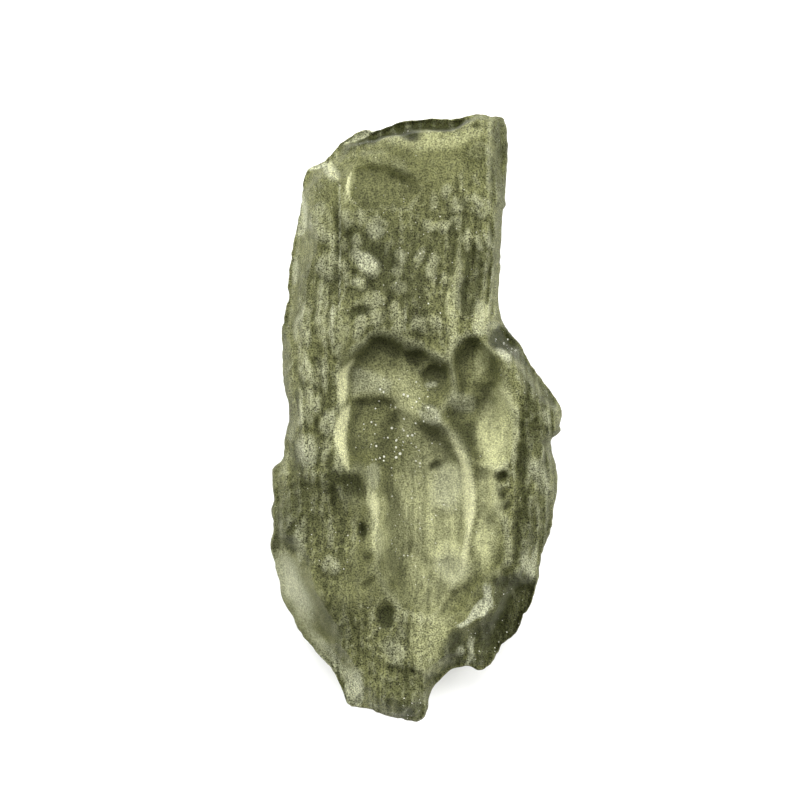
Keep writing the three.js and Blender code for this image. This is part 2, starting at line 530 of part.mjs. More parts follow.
// The closed skin: a face sheet and an underside sheet that share the outline
function stoneGeometry() {
  const plan = planPoints();
  const sides = [LEFT_SIDE, RIGHT_SIDE, LOWER_END, UPPER_END];
  const outline = sides.map((side) => curveThrough(side).getPoints(4 * side.length));
  const relief = blended(plan.map((line) => line.map(({ x, y }) => faceRelief(x, y))));
  const corners = [];
  const numbers = { face: [], back: [] };
  plan.forEach((line, row) => {
    numbers.face.push([]);
    numbers.back.push([]);
    line.forEach(({ x, y }, column) => {
      const onRim = row === 0 || row === ROWS || column === 0 || column === COLUMNS;
      const edge = onRim ? 0 : Math.min(...outline.map((side) => nearestOnLine(x, y, side).distance));
      numbers.face[row].push(corners.length / 3);
      corners.push(x, y, onRim ? rimHeight(x, y) : faceHeight(x, y, edge, relief[row][column]));
      numbers.back[row].push(onRim ? numbers.face[row][column] : corners.length / 3);
      if (!onRim) {
        corners.push(x, y, backHeight(x, y, edge));
      }
    });
  });

  const height = (number) => corners[3 * number + 2];
  const triangles = [];
  const addSheet = (sheet, faceUp) => {
    for (let row = 0; row < ROWS; row += 1) {
      for (let column = 0; column < COLUMNS; column += 1) {
        const a = sheet[row][column];
        const b = sheet[row][column + 1];
        const c = sheet[row + 1][column + 1];
        const d = sheet[row + 1][column];
        const atEnd = row === 0 || row === ROWS - 1;
        const atSide = column === 0 || column === COLUMNS - 1;
        const falling = (row === 0) !== (column === 0);
        const alongRidge = Math.abs(height(a) - height(c)) > Math.abs(height(b) - height(d));
        const splitBD = atEnd && atSide ? falling : alongRidge;
        const halves = splitBD ? [[a, b, d], [b, c, d]] : [[a, b, c], [a, c, d]];
        halves.forEach(([i, j, k]) => triangles.push(...(faceUp ? [i, j, k] : [i, k, j])));
      }
    }
  };
  addSheet(numbers.face, true);
  addSheet(numbers.back, false);

  const geometry = new THREE.BufferGeometry();
  geometry.setAttribute("position", new THREE.Float32BufferAttribute(corners, 3));
  geometry.setIndex(triangles);
  geometry.computeBoundingBox();
  const middle = geometry.boundingBox.getCenter(new THREE.Vector3());
  geometry.translate(-middle.x, -middle.y, -geometry.boundingBox.min.z);
  geometry.computeVertexNormals();
  return geometry;
}

const glass = new THREE.MeshStandardMaterial({ color: GLASS_COLOUR, roughness: 0.35, metalness: 0 });
const stone = new THREE.Mesh(stoneGeometry(), glass);
stone.name = "moldavite";

const part = new THREE.Group();
part.add(stone);
export default part;
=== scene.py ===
import bpy
import numpy as np
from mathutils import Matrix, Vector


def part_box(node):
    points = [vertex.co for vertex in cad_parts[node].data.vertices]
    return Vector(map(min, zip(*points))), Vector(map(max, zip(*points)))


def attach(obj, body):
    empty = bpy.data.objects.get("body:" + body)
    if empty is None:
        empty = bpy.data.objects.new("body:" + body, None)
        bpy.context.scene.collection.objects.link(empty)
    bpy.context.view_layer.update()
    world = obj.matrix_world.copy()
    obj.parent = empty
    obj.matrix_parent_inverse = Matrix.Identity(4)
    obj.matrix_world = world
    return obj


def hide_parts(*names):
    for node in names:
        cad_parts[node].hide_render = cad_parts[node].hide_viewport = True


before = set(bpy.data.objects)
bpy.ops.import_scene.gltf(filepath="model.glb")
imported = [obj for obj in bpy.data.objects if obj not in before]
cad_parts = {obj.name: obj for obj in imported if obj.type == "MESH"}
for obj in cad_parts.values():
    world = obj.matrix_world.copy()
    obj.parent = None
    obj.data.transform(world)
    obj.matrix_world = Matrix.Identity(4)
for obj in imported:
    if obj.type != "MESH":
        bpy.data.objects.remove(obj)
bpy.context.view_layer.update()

# Camera
# It looks straight down at the scooped face, from far enough that the outline keeps its true shape.
# The picture is 48 mm wide at the height of the outline, and the stone's broken end points up.
PICTURE_WIDTH = 0.048
PICTURE_MIDDLE = (-0.00096, 0.00105)
OUTLINE_HEIGHT = 0.003
lens = bpy.data.cameras.new("camera")
lens.lens = 200.0
lens.sensor_width = 36.0
camera = bpy.data.objects.new("camera", lens)
camera_rise = PICTURE_WIDTH * lens.lens / lens.sensor_width
camera.location = (*PICTURE_MIDDLE, OUTLINE_HEIGHT + camera_rise)
bpy.context.scene.collection.objects.link(camera)
bpy.context.scene.camera = camera

# Stone
# One splinter of natural glass, flattened, broken across its upper end and etched all over
# by groundwater. Its skin is one closed surface: a face sheet and an underside sheet on the same
# plan, which meet at the outline. Its sizes are in millimetres, and MM turns them into metres.
MM = 0.001
RIM_HEIGHT = 2.85
CROWN_HEIGHT = 4.05
CROWN_FALL = 0.9
CROWN_MIDDLE = 1.5
HALF_LENGTH = 18.0
FACE_SHOULDER = 2.3
BACK_SHOULDER = 3.3
REST_SPOT = (-0.4, 0.1, 3.4, 2.5, 0)
# The mesh's grid, how it crowds towards its borders, how finely smooth lines are stepped, and the
# nodes along each side of the grain's lattice
COLUMNS = 155
ROWS = 320
END_REACH = 4.0
CROWDING = 0.6
SPAN_STEPS = 16
SIDE_POINTS = 600
FURROW_POINTS = 9
GRAIN_NODES = 67

LEFT_SIDE = [
    (-3.9, -17.4), (-4.2, -17.1), (-4.5, -16.3), (-5.0, -15.3), (-5.8, -14.4), (-6.9, -13.1),
    (-7.4, -12.2), (-8.1, -11.0), (-8.3, -9.9), (-8.6, -8.6), (-8.8, -7.7), (-8.6, -6.8),
    (-8.75, -5.7), (-8.6, -5.0), (-8.75, -3.6), (-8.55, -2.95), (-8.1, -2.5), (-7.85, -1.0),
    (-7.65, 0.0), (-7.75, 1.0), (-8.0, 2.2), (-8.1, 4.5), (-8.1, 5.6), (-7.7, 7.2),
    (-7.75, 8.0), (-7.5, 10.0), (-7.1, 12.0), (-6.9, 13.0), (-6.85, 14.0), (-6.55, 14.9)]
RIGHT_SIDE = [
    (4.5, -14.9), (4.9, -14.3), (5.3, -13.6), (6.0, -13.0), (6.5, -12.0), (7.0, -11.0),
    (7.4, -9.6), (7.6, -8.2), (8.1, -7.0), (8.3, -6.4), (8.35, -5.3), (8.55, -4.3),
    (8.5, -3.4), (8.3, -2.4), (8.15, -1.4), (8.65, -0.95), (8.7, -0.2), (8.8, 0.45),
    (8.4, 1.1), (7.1, 2.95), (6.7, 3.5), (6.4, 4.2), (5.8, 4.9), (5.35, 5.5),
    (5.05, 6.3), (4.95, 7.2), (5.05, 8.5), (5.2, 12.1), (5.4, 12.8), (5.4, 14.0),
    (5.55, 16.2), (5.45, 17.6)]
LOWER_END = [
    (-3.9, -17.4), (-3.0, -17.5), (-2.0, -17.85), (-0.5, -18.25), (0.3, -18.25), (0.7, -17.5),
    (0.75, -16.9), (1.0, -16.3), (1.5, -15.7), (2.1, -15.15), (2.8, -15.0), (3.3, -15.05),
    (3.9, -15.25), (4.5, -14.9)]
UPPER_END = [
    (-6.55, 14.9), (-6.1, 15.2), (-5.5, 15.45), (-5.0, 15.95), (-4.6, 16.45), (-4.0, 16.9),
    (-3.0, 17.3), (-2.4, 17.25), (-0.8, 17.8), (0.3, 17.95), (2.4, 17.98), (3.8, 18.25),
    (4.6, 18.1), (5.15, 18.0), (5.45, 17.6)]

# Large hollows of the face, each inside a closed lip line: depth, width of the wall, strength of the
# painted shade on the upper wall, steepness of the upper wall, lip
HOLLOWS = [
    (1.4, 1.3, 0.2, 0.3, [
        (-4.85, 2.2), (-4.6, 3.0), (-3.9, 3.75), (-3.3, 4.3), (-2.7, 4.85), (-1.8, 4.95),
        (-0.9, 4.55), (-0.3, 4.2), (0.4, 4.1), (1.2, 3.5), (2.2, 3.0), (2.5, 1.6), (2.0, 0.6),
        (1.35, -0.4), (1.2, -2.5), (0.4, -4.4), (-1.2, -4.6), (-2.5, -3.6), (-3.6, -3.0), (-4.1, -3.3),
        (-4.6, -2.4), (-4.9, -1.2), (-4.85, -0.2), (-4.6, 0.6), (-4.8, 1.2)]),
    (1.8, 1.4, 0.35, 0.3, [
        (-1.0, 1.0), (0.0, 0.6), (0.6, 0.15), (1.2, -0.25), (2.0, -0.8), (2.7, -1.7),
        (3.2, -2.8), (3.5, -3.8), (3.6, -5.0), (3.5, -6.2), (3.2, -7.2), (3.05, -8.2),
        (3.0, -9.0), (2.8, -9.8), (2.2, -10.6), (1.6, -11.4), (0.6, -11.9), (-0.6, -11.6),
        (-1.4, -10.8), (-1.95, -9.9), (-2.3, -8.8), (-2.2, -7.6), (-2.45, -6.2),
        (-2.65, -4.9), (-2.75, -4.2), (-3.0, -3.2), (-3.1, -1.8), (-2.6, -0.2), (-1.9, 0.7)]),
    (0.9, 0.9, 0.2, 0.3, [
        (2.9, -2.3), (4.1, -2.7), (4.65, -3.2), (4.75, -4.2), (4.6, -5.4), (5.1, -6.2),
        (5.35, -7.5), (5.2, -8.9), (4.4, -9.4), (3.7, -10.3), (2.5, -11.6), (1.2, -12.0),
        (1.6, -10.2), (2.3, -8.5), (2.7, -7.0), (2.9, -5.6), (2.9, -4.0)]),
    (1.2, 1.1, 0.6, 0.3, [
        (2.1, 3.9), (2.6, 4.5), (3.2, 4.85), (3.8, 4.55), (4.35, 3.95), (4.85, 3.2),
        (5.15, 2.0), (4.8, 0.8), (3.6, 0.0), (2.4, 0.0), (1.9, 1.2), (1.9, 3.0)]),
    (1.5, 1.5, 0.3, 0.3, [
        (3.8, 2.0), (4.6, 2.05), (5.0, 1.6), (5.5, 0.8), (5.95, 0.0), (6.1, -1.0),
        (5.9, -2.0), (5.5, -2.7), (4.7, -3.05), (3.5, -3.15), (2.7, -2.5), (2.1, -1.6),
        (1.5, -0.8), (1.2, 0.2), (2.0, 1.1), (3.1, 1.6)]),
    (0.7, 1.6, 0, 0, [
        (-4.7, -3.1), (-3.9, -3.15), (-3.2, -3.1), (-2.9, -3.6), (-2.75, -4.5), (-2.9, -5.0),
        (-3.8, -4.9), (-4.8, -4.5), (-5.7, -4.1), (-5.3, -3.7)]),
    (1.2, 1.6, 0.2, 0, [
        (4.4, -9.7), (5.6, -9.3), (6.9, -9.4), (7.2, -10.4), (6.4, -12.2), (5.6, -13.6),
        (4.6, -14.7), (3.4, -14.8), (2.2, -14.8), (1.7, -13.9), (2.1, -12.8), (3.0, -12.4),
        (4.1, -11.7), (4.5, -10.6)]),
    (0.55, 0.8, 0.1, 0.1, [
        (-4.25, 13.6), (-4.15, 14.2), (-3.8, 14.7), (-3.0, 15.0), (-1.8, 14.9), (-0.6, 14.6),
        (0.2, 13.8), (0.0, 13.0), (-0.8, 12.5), (-1.8, 12.4), (-2.8, 12.2), (-3.5, 12.5),
        (-4.0, 13.0)]),
    (0.4, 0.6, 0.1, 0.1, [
        (-5.5, 14.9), (-5.2, 15.6), (-4.5, 16.2), (-3.9, 16.0), (-3.7, 15.3), (-4.0, 14.6),
        (-4.5, 14.0), (-5.1, 14.3)])]
# Steps sunk into the hollows and into the lower end, in the same terms
STEPS = [
    (0.45, 1.2, 0.1, 0.6, [
        (-3.9, 3.5), (-2.7, 4.75), (-1.0, 4.4), (-0.7, 3.4), (-1.2, 2.3), (-2.4, 2.2),
        (-3.3, 2.6)]),
    (0.45, 1.3, 0.3, 0.8, [
        (-3.9, 1.05), (-2.8, 1.2), (-1.4, 1.05), (-0.9, 0.2), (-0.9, -1.2), (-1.6, -2.4),
        (-2.9, -2.9), (-3.9, -2.6), (-4.25, -1.0)]),
    (0.35, 0.5, 0.6, 0.6, [(-0.8, 3.95), (0.3, 3.9), (0.35, 3.0), (-0.6, 3.0)]),
    (0.45, 1.0, 0.6, 0.7, [
        (0.1, 2.5), (0.8, 3.1), (1.6, 2.9), (1.9, 2.2), (1.6, 1.4), (0.8, 1.2), (0.2, 1.7)]),
    (0.4, 1.2, 0.3, 0.8, [
        (3.4, 1.9), (4.0, 2.0), (4.7, 2.05), (5.0, 1.4), (5.2, 0.4), (5.0, -1.3), (4.2, -2.0),
        (3.4, -0.8), (3.1, 0.8)]),
    (0.25, 0.6, 0.1, 0, [
        (-0.4, -7.2), (0.6, -8.2), (1.4, -9.1), (0.6, -9.0), (-0.4, -8.6), (-1.0, -9.6),
        (-1.8, -8.6), (-1.9, -6.0), (-1.6, -4.0), (-1.0, -4.6)]),
    (0.3, 0.9, 0.2, 0.7, [
        (-2.0, -14.75), (-0.9, -14.75), (0.2, -15.0), (0.3, -16.0), (-0.4, -16.8), (-1.6, -16.4),
        (-1.9, -15.6)])]
# Shallow ovals: x, y, half width, half length, turn, depth, steepness of the upper wall
OVALS = [
    (4.95, 15.7, 0.75, 2.3, 0, 0.55, 0.1),
    (5.5, 4.35, 1.0, 0.8, -30, 0.4, 0.4),
    (-4.9, -11.5, 1.1, 1.1, 0, 0.35, 0.4),
    (-0.2, -17.7, 0.9, 0.9, 0, 0.6, 0.2),
    (7.1, -0.7, 1.0, 1.6, -35, 0.45, 0.3),
    (7.3, -4.3, 1.0, 1.8, 0, 0.5, 0.3),
    (7.0, -7.8, 0.9, 1.6, 15, 0.45, 0.3),
    (6.7, 2.0, 0.9, 1.5, -35, 0.4, 0.3)]
# Pits sunk into whatever lies under them, in the same terms
PITS = [
    (-1.7, -12.0, 0.6, 0.85, 0, 0.45, 0.3),
    (-3.4, -6.65, 0.4, 0.6, 0, 0.6, 0.3),
    (-3.0, -8.3, 0.35, 0.45, 0, 0.35, 0.3),
    (-2.8, -9.8, 0.5, 0.35, 0, 0.35, 0.3),
    (5.2, -3.35, 0.55, 0.35, 0, 0.55, 0.4),
    (4.9, -4.5, 0.35, 0.55, 0, 0.45, 0.3),
    (5.05, -5.25, 0.35, 0.4, 0, 0.45, 0.3),
    (-0.3, 16.8, 0.55, 0.4, 0, 0.5, 0.3),
    (1.5, 16.8, 0.25, 0.2, 0, 0.3, 0.3),
    (3.35, 17.2, 0.35, 0.25, 0, 0.35, 0.3),
    (-3.5, 6.4, 0.45, 0.25, 0, 0.35, 0.3),
    (1.1, -3.05, 0.55, 0.3, 30, 0.35, 0.3),
    (-4.0, 10.5, 0.4, 0.3, 0, 0.35, 0.3),
    (-2.1, 9.9, 0.5, 0.3, -20, 0.3, 0.3)]
# Lumps that stand up from the face: x, y, half width, half length, turn, height
LUMPS = [
    (1.75, -4.3, 1.0, 1.3, 0, 0.45),
    (2.2, -8.8, 1.1, 1.2, 0, 0.4),
    (0.1, -10.3, 1.2, 0.9, 0, 0.25),
    (-6.6, 5.2, 0.5, 1.2, -10, 0.4), (-6.85, 3.2, 0.35, 0.8, 0, 0.3),
    (-6.4, 2.5, 0.5, 0.6, 0, 0.35), (-6.4, 0.7, 0.6, 0.95, 0, 0.4),
    (-6.35, -1.9, 0.6, 0.95, -5, 0.5), (-6.3, -3.3, 0.35, 0.5, 0, 0.3),
    (-7.2, -0.6, 0.25, 0.7, 0, 0.25), (-5.4, 5.5, 0.35, 1.2, 0, 0.3),
    (-5.7, 2.8, 0.3, 0.8, 0, 0.3), (-5.25, -0.2, 0.35, 0.8, 0, 0.3),
    (-5.2, -1.9, 0.3, 0.8, 0, 0.25), (-4.5, 5.2, 0.55, 1.3, 0, 0.4),
    (-5.5, 11.5, 0.7, 1.1, 0, 0.4), (-5.35, 8.9, 0.6, 0.8, 0, 0.45),
    (-5.1, 10.3, 0.35, 0.8, 0, 0.25), (-5.7, 7.1, 0.3, 0.8, 0, 0.25),
    (-3.9, 11.7, 0.4, 0.5, 0, 0.35), (-3.3, 11.6, 0.35, 0.45, 0, 0.3),
    (-2.3, 11.3, 0.65, 0.45, 0, 0.35), (-3.35, 10.3, 0.35, 0.45, 0, 0.3),
    (-3.0, 9.2, 0.8, 0.65, -25, 0.45), (-3.5, 8.05, 0.45, 0.4, 0, 0.35),
    (-4.35, 8.4, 0.25, 0.6, 0, 0.3), (-2.7, 7.1, 0.55, 0.55, 0, 0.4),
    (-1.0, 7.6, 0.45, 0.45, 0, 0.3), (-2.6, 6.0, 0.5, 0.55, 0, 0.35),
    (-1.6, 6.3, 0.3, 0.5, 0, 0.3), (-3.4, 5.5, 0.35, 0.6, 0, 0.35),
    (-0.8, 9.6, 0.35, 0.5, 15, 0.35), (-0.9, 8.7, 0.35, 0.45, 0, 0.3),
    (0.6, 11.3, 0.35, 0.4, 0, 0.3), (1.3, 11.2, 0.3, 0.4, 0, 0.35),
    (2.0, 11.3, 0.4, 0.35, 0, 0.3), (1.0, 13.0, 0.3, 0.6, 0, 0.25),
    (1.8, 13.3, 0.45, 0.45, 0, 0.3), (2.3, 12.4, 0.5, 0.5, 0, 0.25),
    (0.3, 9.4, 0.3, 0.5, 0, 0.25), (1.1, 8.6, 0.25, 0.9, 0, 0.25),
    (1.8, 8.0, 0.25, 0.3, 0, 0.25), (0.2, 5.3, 0.6, 0.45, 0, 0.25),
    (1.0, 5.6, 0.45, 0.45, 0, 0.25), (-1.2, 5.5, 0.25, 0.7, 0, 0.25),
    (3.9, 6.0, 0.5, 0.95, 0, 0.4), (2.9, 10.4, 0.25, 0.55, 0, 0.3),
    (3.5, 10.4, 0.3, 0.4, 0, 0.25), (4.1, 10.7, 0.3, 0.5, 0, 0.25),
    (3.7, 12.5, 0.7, 0.55, 0, 0.3), (3.6, 15.6, 0.45, 0.5, 0, 0.25),
    (-2.5, 15.3, 0.9, 0.4, -15, 0.25), (-1.0, 14.8, 0.6, 0.4, -20, 0.25),
    (-4.9, -8.8, 0.5, 0.5, 0, 0.35), (-6.8, -7.4, 0.3, 1.2, 0, 0.3)]
# Furrows and ridges: half width, depth or height, and the bent line that each follows
FURROWS = [
    (0.12, 0.12, [(-1.3, -1.5), (-1.4, -4.5), (-1.2, -8.0)]),
    (0.12, 0.1, [(-0.5, -2.0), (-0.5, -5.0), (-0.3, -8.6)]),
    (0.12, 0.1, [(0.4, -3.4), (0.45, -6.0), (0.6, -8.4)]),
    (0.14, 0.14, [(-7.0, -9.0), (-6.2, -11.5), (-5.0, -14.0), (-4.2, -16.0)]),
    (0.14, 0.12, [(-3.9, -9.4), (-3.8, -12.0), (-3.0, -15.0)]),
    (0.14, 0.12, [(-0.6, -12.2), (-0.5, -14.2), (-0.8, -16.6)]),
    (0.14, 0.14, [(5.6, -3.6), (5.5, -6.4), (5.3, -8.8)]),
    (0.14, 0.14, [(7.4, 0.8), (7.6, -2.0), (7.8, -5.5)]),
    (0.16, 0.16, [(4.4, 16.6), (4.5, 13.0), (4.3, 9.0), (4.2, 5.4)]),
    (0.14, 0.14, [(3.0, 15.2), (2.9, 12.8), (3.2, 10.8)]),
    (0.35, 0.24, [(-4.8, 14.2), (-4.7, 11.5), (-4.75, 9.0), (-4.6, 6.5)]),
    (0.35, 0.24, [(-5.9, 8.8), (-5.9, 6.0), (-5.9, 3.5), (-5.7, 0.5), (-5.7, -3.8)]),
    (0.25, 0.18, [(-5.1, 5.0), (-5.05, 3.0), (-5.1, 0.5)]),
    (0.55, 0.36, [(3.4, 10.3), (3.05, 7.5), (3.0, 4.9)]),
    (0.5, 0.42, [(6.6, 2.6), (6.4, 0.0), (6.25, -3.0), (6.1, -6.0), (5.8, -9.0)]),
    (0.25, 0.18, [(6.9, 1.6), (6.9, -2.0), (6.7, -5.0)]),
    (0.3, 0.21, [(-7.1, 2.0), (-7.15, -1.0), (-6.9, -3.4)]),
    (0.25, 0.18, [(-8.7, -4.1), (-7.0, -4.2), (-5.8, -4.0), (-4.2, -5.1)]),
    (0.35, 0.21, [(0.9, 4.4), (0.3, 7.0), (0.1, 10.2)]),
    (0.3, 0.21, [(-3.2, -5.2), (-3.3, -8.0), (-3.0, -9.6)]),
    (0.2, 0.12, [(-2.4, -9.6), (-1.9, -10.7), (-0.9, -11.6)]),
    (0.2, 0.12, [(4.2, -9.6), (3.3, -10.9), (1.8, -11.9)])]
RIDGES = [
    (0.35, 0.32, [(2.8, 11.4), (2.4, 8.0), (2.2, 6.0), (2.1, 4.2)]),
    (0.22, 0.22, [(1.7, 9.2), (1.75, 7.0), (1.85, 4.3)]),
    (0.2, 0.22, [(-4.98, 7.4), (-5.0, 5.5), (-5.2, 3.6)]),
    (0.2, 0.25, [(2.15, 4.1), (2.0, 3.0), (2.3, 2.0), (2.6, 1.0)]),
    (0.35, 0.3, [(4.2, 4.2), (5.1, 3.6), (5.6, 2.7)]),
    (0.35, 0.3, [(8.2, -1.4), (7.2, -2.5), (6.5, -3.8), (6.2, -5.0)]),
    (0.25, 0.2, [(8.2, -4.6), (7.4, -3.6), (6.9, -2.8)]),
    (0.28, 0.25, [(4.25, 18.0), (4.3, 16.0), (4.2, 13.8)]),
    (0.18, 0.2, [(-1.7, -14.6), (-1.75, -17.0)]),
    (0.15, 0.18, [(-3.35, -9.2), (-3.4, -10.5), (-3.15, -12.0)]),
    (0.2, 0.25, [(3.0, -13.0), (3.3, -14.0), (3.5, -14.8)]),
    (0.15, 0.2, [(-0.6, 6.9), (-0.7, 6.0), (-0.8, 5.2)]),
    (0.12, 0.15, [(-0.2, -0.4), (0.1, -0.9), (0.4, -1.3)])]
# Facets that cut the border: area, width from the outline, rise over that width, and how hollow
# each is, where 1 is straight
FACETS = [
    ((-7.2, -10.6, 2.3, 3.4, 25), 2.0, 3.0, 1.7),
    ((-5.0, -15.2, 1.5, 3.2, 33), 1.2, 2.2, 1.6),
    ((-7.4, 9.5, 1.5, 5.2, 8), 1.0, 2.4, 1.1),
    ((-6.0, 15.2, 2.2, 0.9, 40), 0.8, 2.2, 1.2),
    ((-0.6, 17.6, 4.2, 0.9, 12), 1.0, 3.3, 3.5),
    ((7.2, 2.6, 1.2, 2.6, 52), 0.7, 2.6, 1.2),
    ((6.3, -12.4, 1.6, 2.6, -30), 1.6, 2.6, 1.3),
    ((2.6, -15.2, 2.0, 1.1, 0), 0.9, 2.2, 1.2)]
# Where shade is painted on the glass, with some darker glass, where light glowing through thin glass is
# painted, and where painted sheen and highlight lie over the frosted skin: place as a turned ellipse
# (x, y, half width, half length, turn), softness of its border, strength
SHADE_AND_DARK_PLACES = [
    ((-3.0, 4.2, 0.7, 0.6, 40), 0.8, 0.1),
    ((4.9, 14.9, 0.6, 1.7, 0), 0.9, 0.5), ((-7.0, -6.0, 1.3, 2.4, 0), 1.0, 0.35),
    ((7.4, -2.0, 1.0, 1.5, 0), 1.0, 0.35), ((7.4, -6.5, 0.8, 1.6, 10), 1.0, 0.3),
    ((-2.0, 4.1, 1.7, 0.8, 0), 0.8, 0.1), ((0.9, 3.2, 1.1, 0.8, -20), 0.8, 0.45),
    ((-1.6, 16.95, 2.3, 0.5, 15), 0.4, 0.97), ((1.3, 17.6, 1.7, 0.36, 5), 0.4, 0.92),
    ((-0.2, 16.75, 0.55, 0.32, 0), 0.6, 0.85), ((4.9, 16.7, 0.55, 1.2, 0), 0.8, 0.6),
    ((-4.0, 16.1, 0.4, 0.3, 0), 0.9, 0.5), ((5.3, 4.5, 0.9, 0.75, 0), 0.6, 0.85),
    ((-1.6, 9.4, 2.2, 2.2, 0), 0.9, 0.3), ((-2.2, 9.8, 1.4, 0.7, 0), 1.2, 0.5),
    ((-1.6, 8.6, 0.8, 1.3, 0), 1.2, 0.5),
    ((-0.2, 7.0, 0.8, 2.2, 0), 1.2, 0.45), ((-3.9, 10.5, 0.7, 1.0, 0), 1.1, 0.55),
    ((3.4, 8.4, 0.7, 1.9, 0), 1.0, 0.55), ((-3.4, 6.4, 0.6, 0.3, 0), 0.8, 0.6),
    ((6.5, -1.5, 0.45, 4.5, 0), 1.0, 0.6), ((6.1, -7.0, 0.5, 2.6, 0), 1.0, 0.5),
    ((-4.2, -4.1, 1.6, 0.9, 0), 1.0, 0.6), ((-6.6, -5.4, 1.9, 1.6, 0), 1.0, 0.35),
    ((-1.75, -12.0, 0.6, 0.7, 0), 1.0, 0.7),
    ((-3.35, -6.7, 0.3, 0.45, 0), 0.7, 0.8), ((4.7, -13.0, 1.4, 1.6, -30), 1.0, 0.75),
    ((6.0, -11.4, 1.2, 2.0, -25), 1.0, 0.55), ((-0.2, -17.75, 0.8, 0.55, 0), 0.6, 0.15),
    ((1.0, -15.6, 0.5, 0.5, 0), 1.0, 0.65), ((2.2, -13.6, 0.6, 1.0, 0), 0.9, 0.65),
    ((-1.6, -9.0, 0.6, 2.0, 12), 1.2, 0.25),
    ((2.8, -1.6, 0.9, 1.2, 0), 1.0, 0.45), ((5.2, -3.3, 0.5, 0.3, 0), 0.7, 0.8),
    ((4.9, -4.6, 0.3, 0.9, 0), 0.9, 0.6), ((1.1, -2.9, 0.6, 0.25, 30), 0.9, 0.6),
    ((-7.9, 2.0, 0.25, 3.0, 0), 1.0, 0.3), ((-4.8, -12.0, 1.3, 1.6, 20), 1.2, 0.45),
    ((-0.9, -16.2, 1.5, 1.4, 0), 1.0, 0.4),
    ((0.9, -0.6, 0.9, 0.5, -35), 1.0, 0.45)]
GLOW_PLACES = [
    ((-1.9, -6.8, 0.6, 3.0, 4), 0.8, 0.4),
    ((4.8, -0.6, 1.0, 2.1, 0), 0.8, 0.85), ((5.2, -1.2, 0.6, 1.5, 0), 0.9, 0.5),
    ((0.9, -5.8, 2.1, 4.6, 0), 0.8, 0.6),
    ((1.6, -4.4, 1.1, 1.3, 0), 0.7, 0.75), ((2.2, -8.6, 1.3, 1.2, 0), 0.9, 0.7),
    ((4.2, -5.6, 0.7, 3.2, 0), 0.7, 0.6), ((0.8, -13.0, 1.0, 2.2, -5), 1.0, 0.32),
    ((-0.5, 0.8, 0.9, 1.8, 0), 1.1, 0.4), ((3.7, 3.2, 0.45, 1.0, -15), 0.9, 0.5),
    ((2.2, 6.6, 0.3, 2.6, -5), 0.9, 0.38), ((0.9, 16.5, 2.8, 0.5, 3), 1.0, 0.3),
    ((-4.05, 13.5, 0.2, 1.0, 0), 0.7, 0.35), ((3.9, 6.0, 0.5, 0.9, 0), 0.9, 0.4),
    ((-2.6, -6.0, 0.15, 2.2, 0), 0.8, 0.5), ((-2.4, 1.9, 1.8, 0.7, 10), 1.0, 0.2)]
SHEEN_AND_FROST_PLACES = [
    ((1.7, -4.3, 0.9, 1.3, 0), 0.7, 0.45), ((2.1, -8.9, 0.9, 0.8, 0), 0.8, 0.4),
    ((-7.5, -10.3, 0.8, 2.0, 20), 1.3, 0.95), ((-5.4, -14.3, 0.45, 2.0, 38), 0.9, 0.55),
    ((-3.8, -16.3, 0.5, 1.2, 15), 0.8, 0.55), ((-5.15, 14.9, 0.3, 0.7, 30), 0.8, 0.6),
    ((-6.65, 12.7, 0.2, 1.2, 5), 0.8, 0.4), ((-3.4, 16.9, 1.2, 0.16, 20), 0.8, 0.7),
    ((-5.9, 15.2, 0.8, 0.15, 25), 0.8, 0.7), ((4.95, 18.0, 0.5, 0.1, -15), 0.8, 0.8),
    ((5.2, 3.5, 0.6, 0.22, -35), 0.8, 0.75), ((3.5, -11.6, 1.1, 0.3, 42), 0.5, 1.0),
    ((4.3, -10.7, 0.2, 0.8, 0), 0.6, 0.9), ((2.8, -14.1, 0.2, 0.35, 0), 0.8, 0.6),
    ((3.3, -14.0, 0.12, 0.8, 12), 0.9, 0.6), ((0.85, 0.2, 0.75, 0.25, -38), 0.8, 0.5),
    ((0.9, 2.05, 0.3, 0.15, 0), 0.8, 0.6), ((-3.0, 9.2, 0.75, 0.55, -25), 0.9, 0.35),
    ((-6.3, -1.9, 0.45, 0.8, 0), 0.9, 0.4), ((7.5, -3.6, 0.4, 1.3, 25), 1.0, 0.35),
    ((7.5, 0.0, 0.2, 0.6, 0), 0.9, 0.4), ((6.6, -8.8, 0.25, 0.7, 25), 0.9, 0.4),
    ((7.0, -8.8, 0.2, 0.9, 0), 0.9, 0.4), ((-1.3, -13.9, 0.7, 0.6, 0), 1.0, 0.3)]
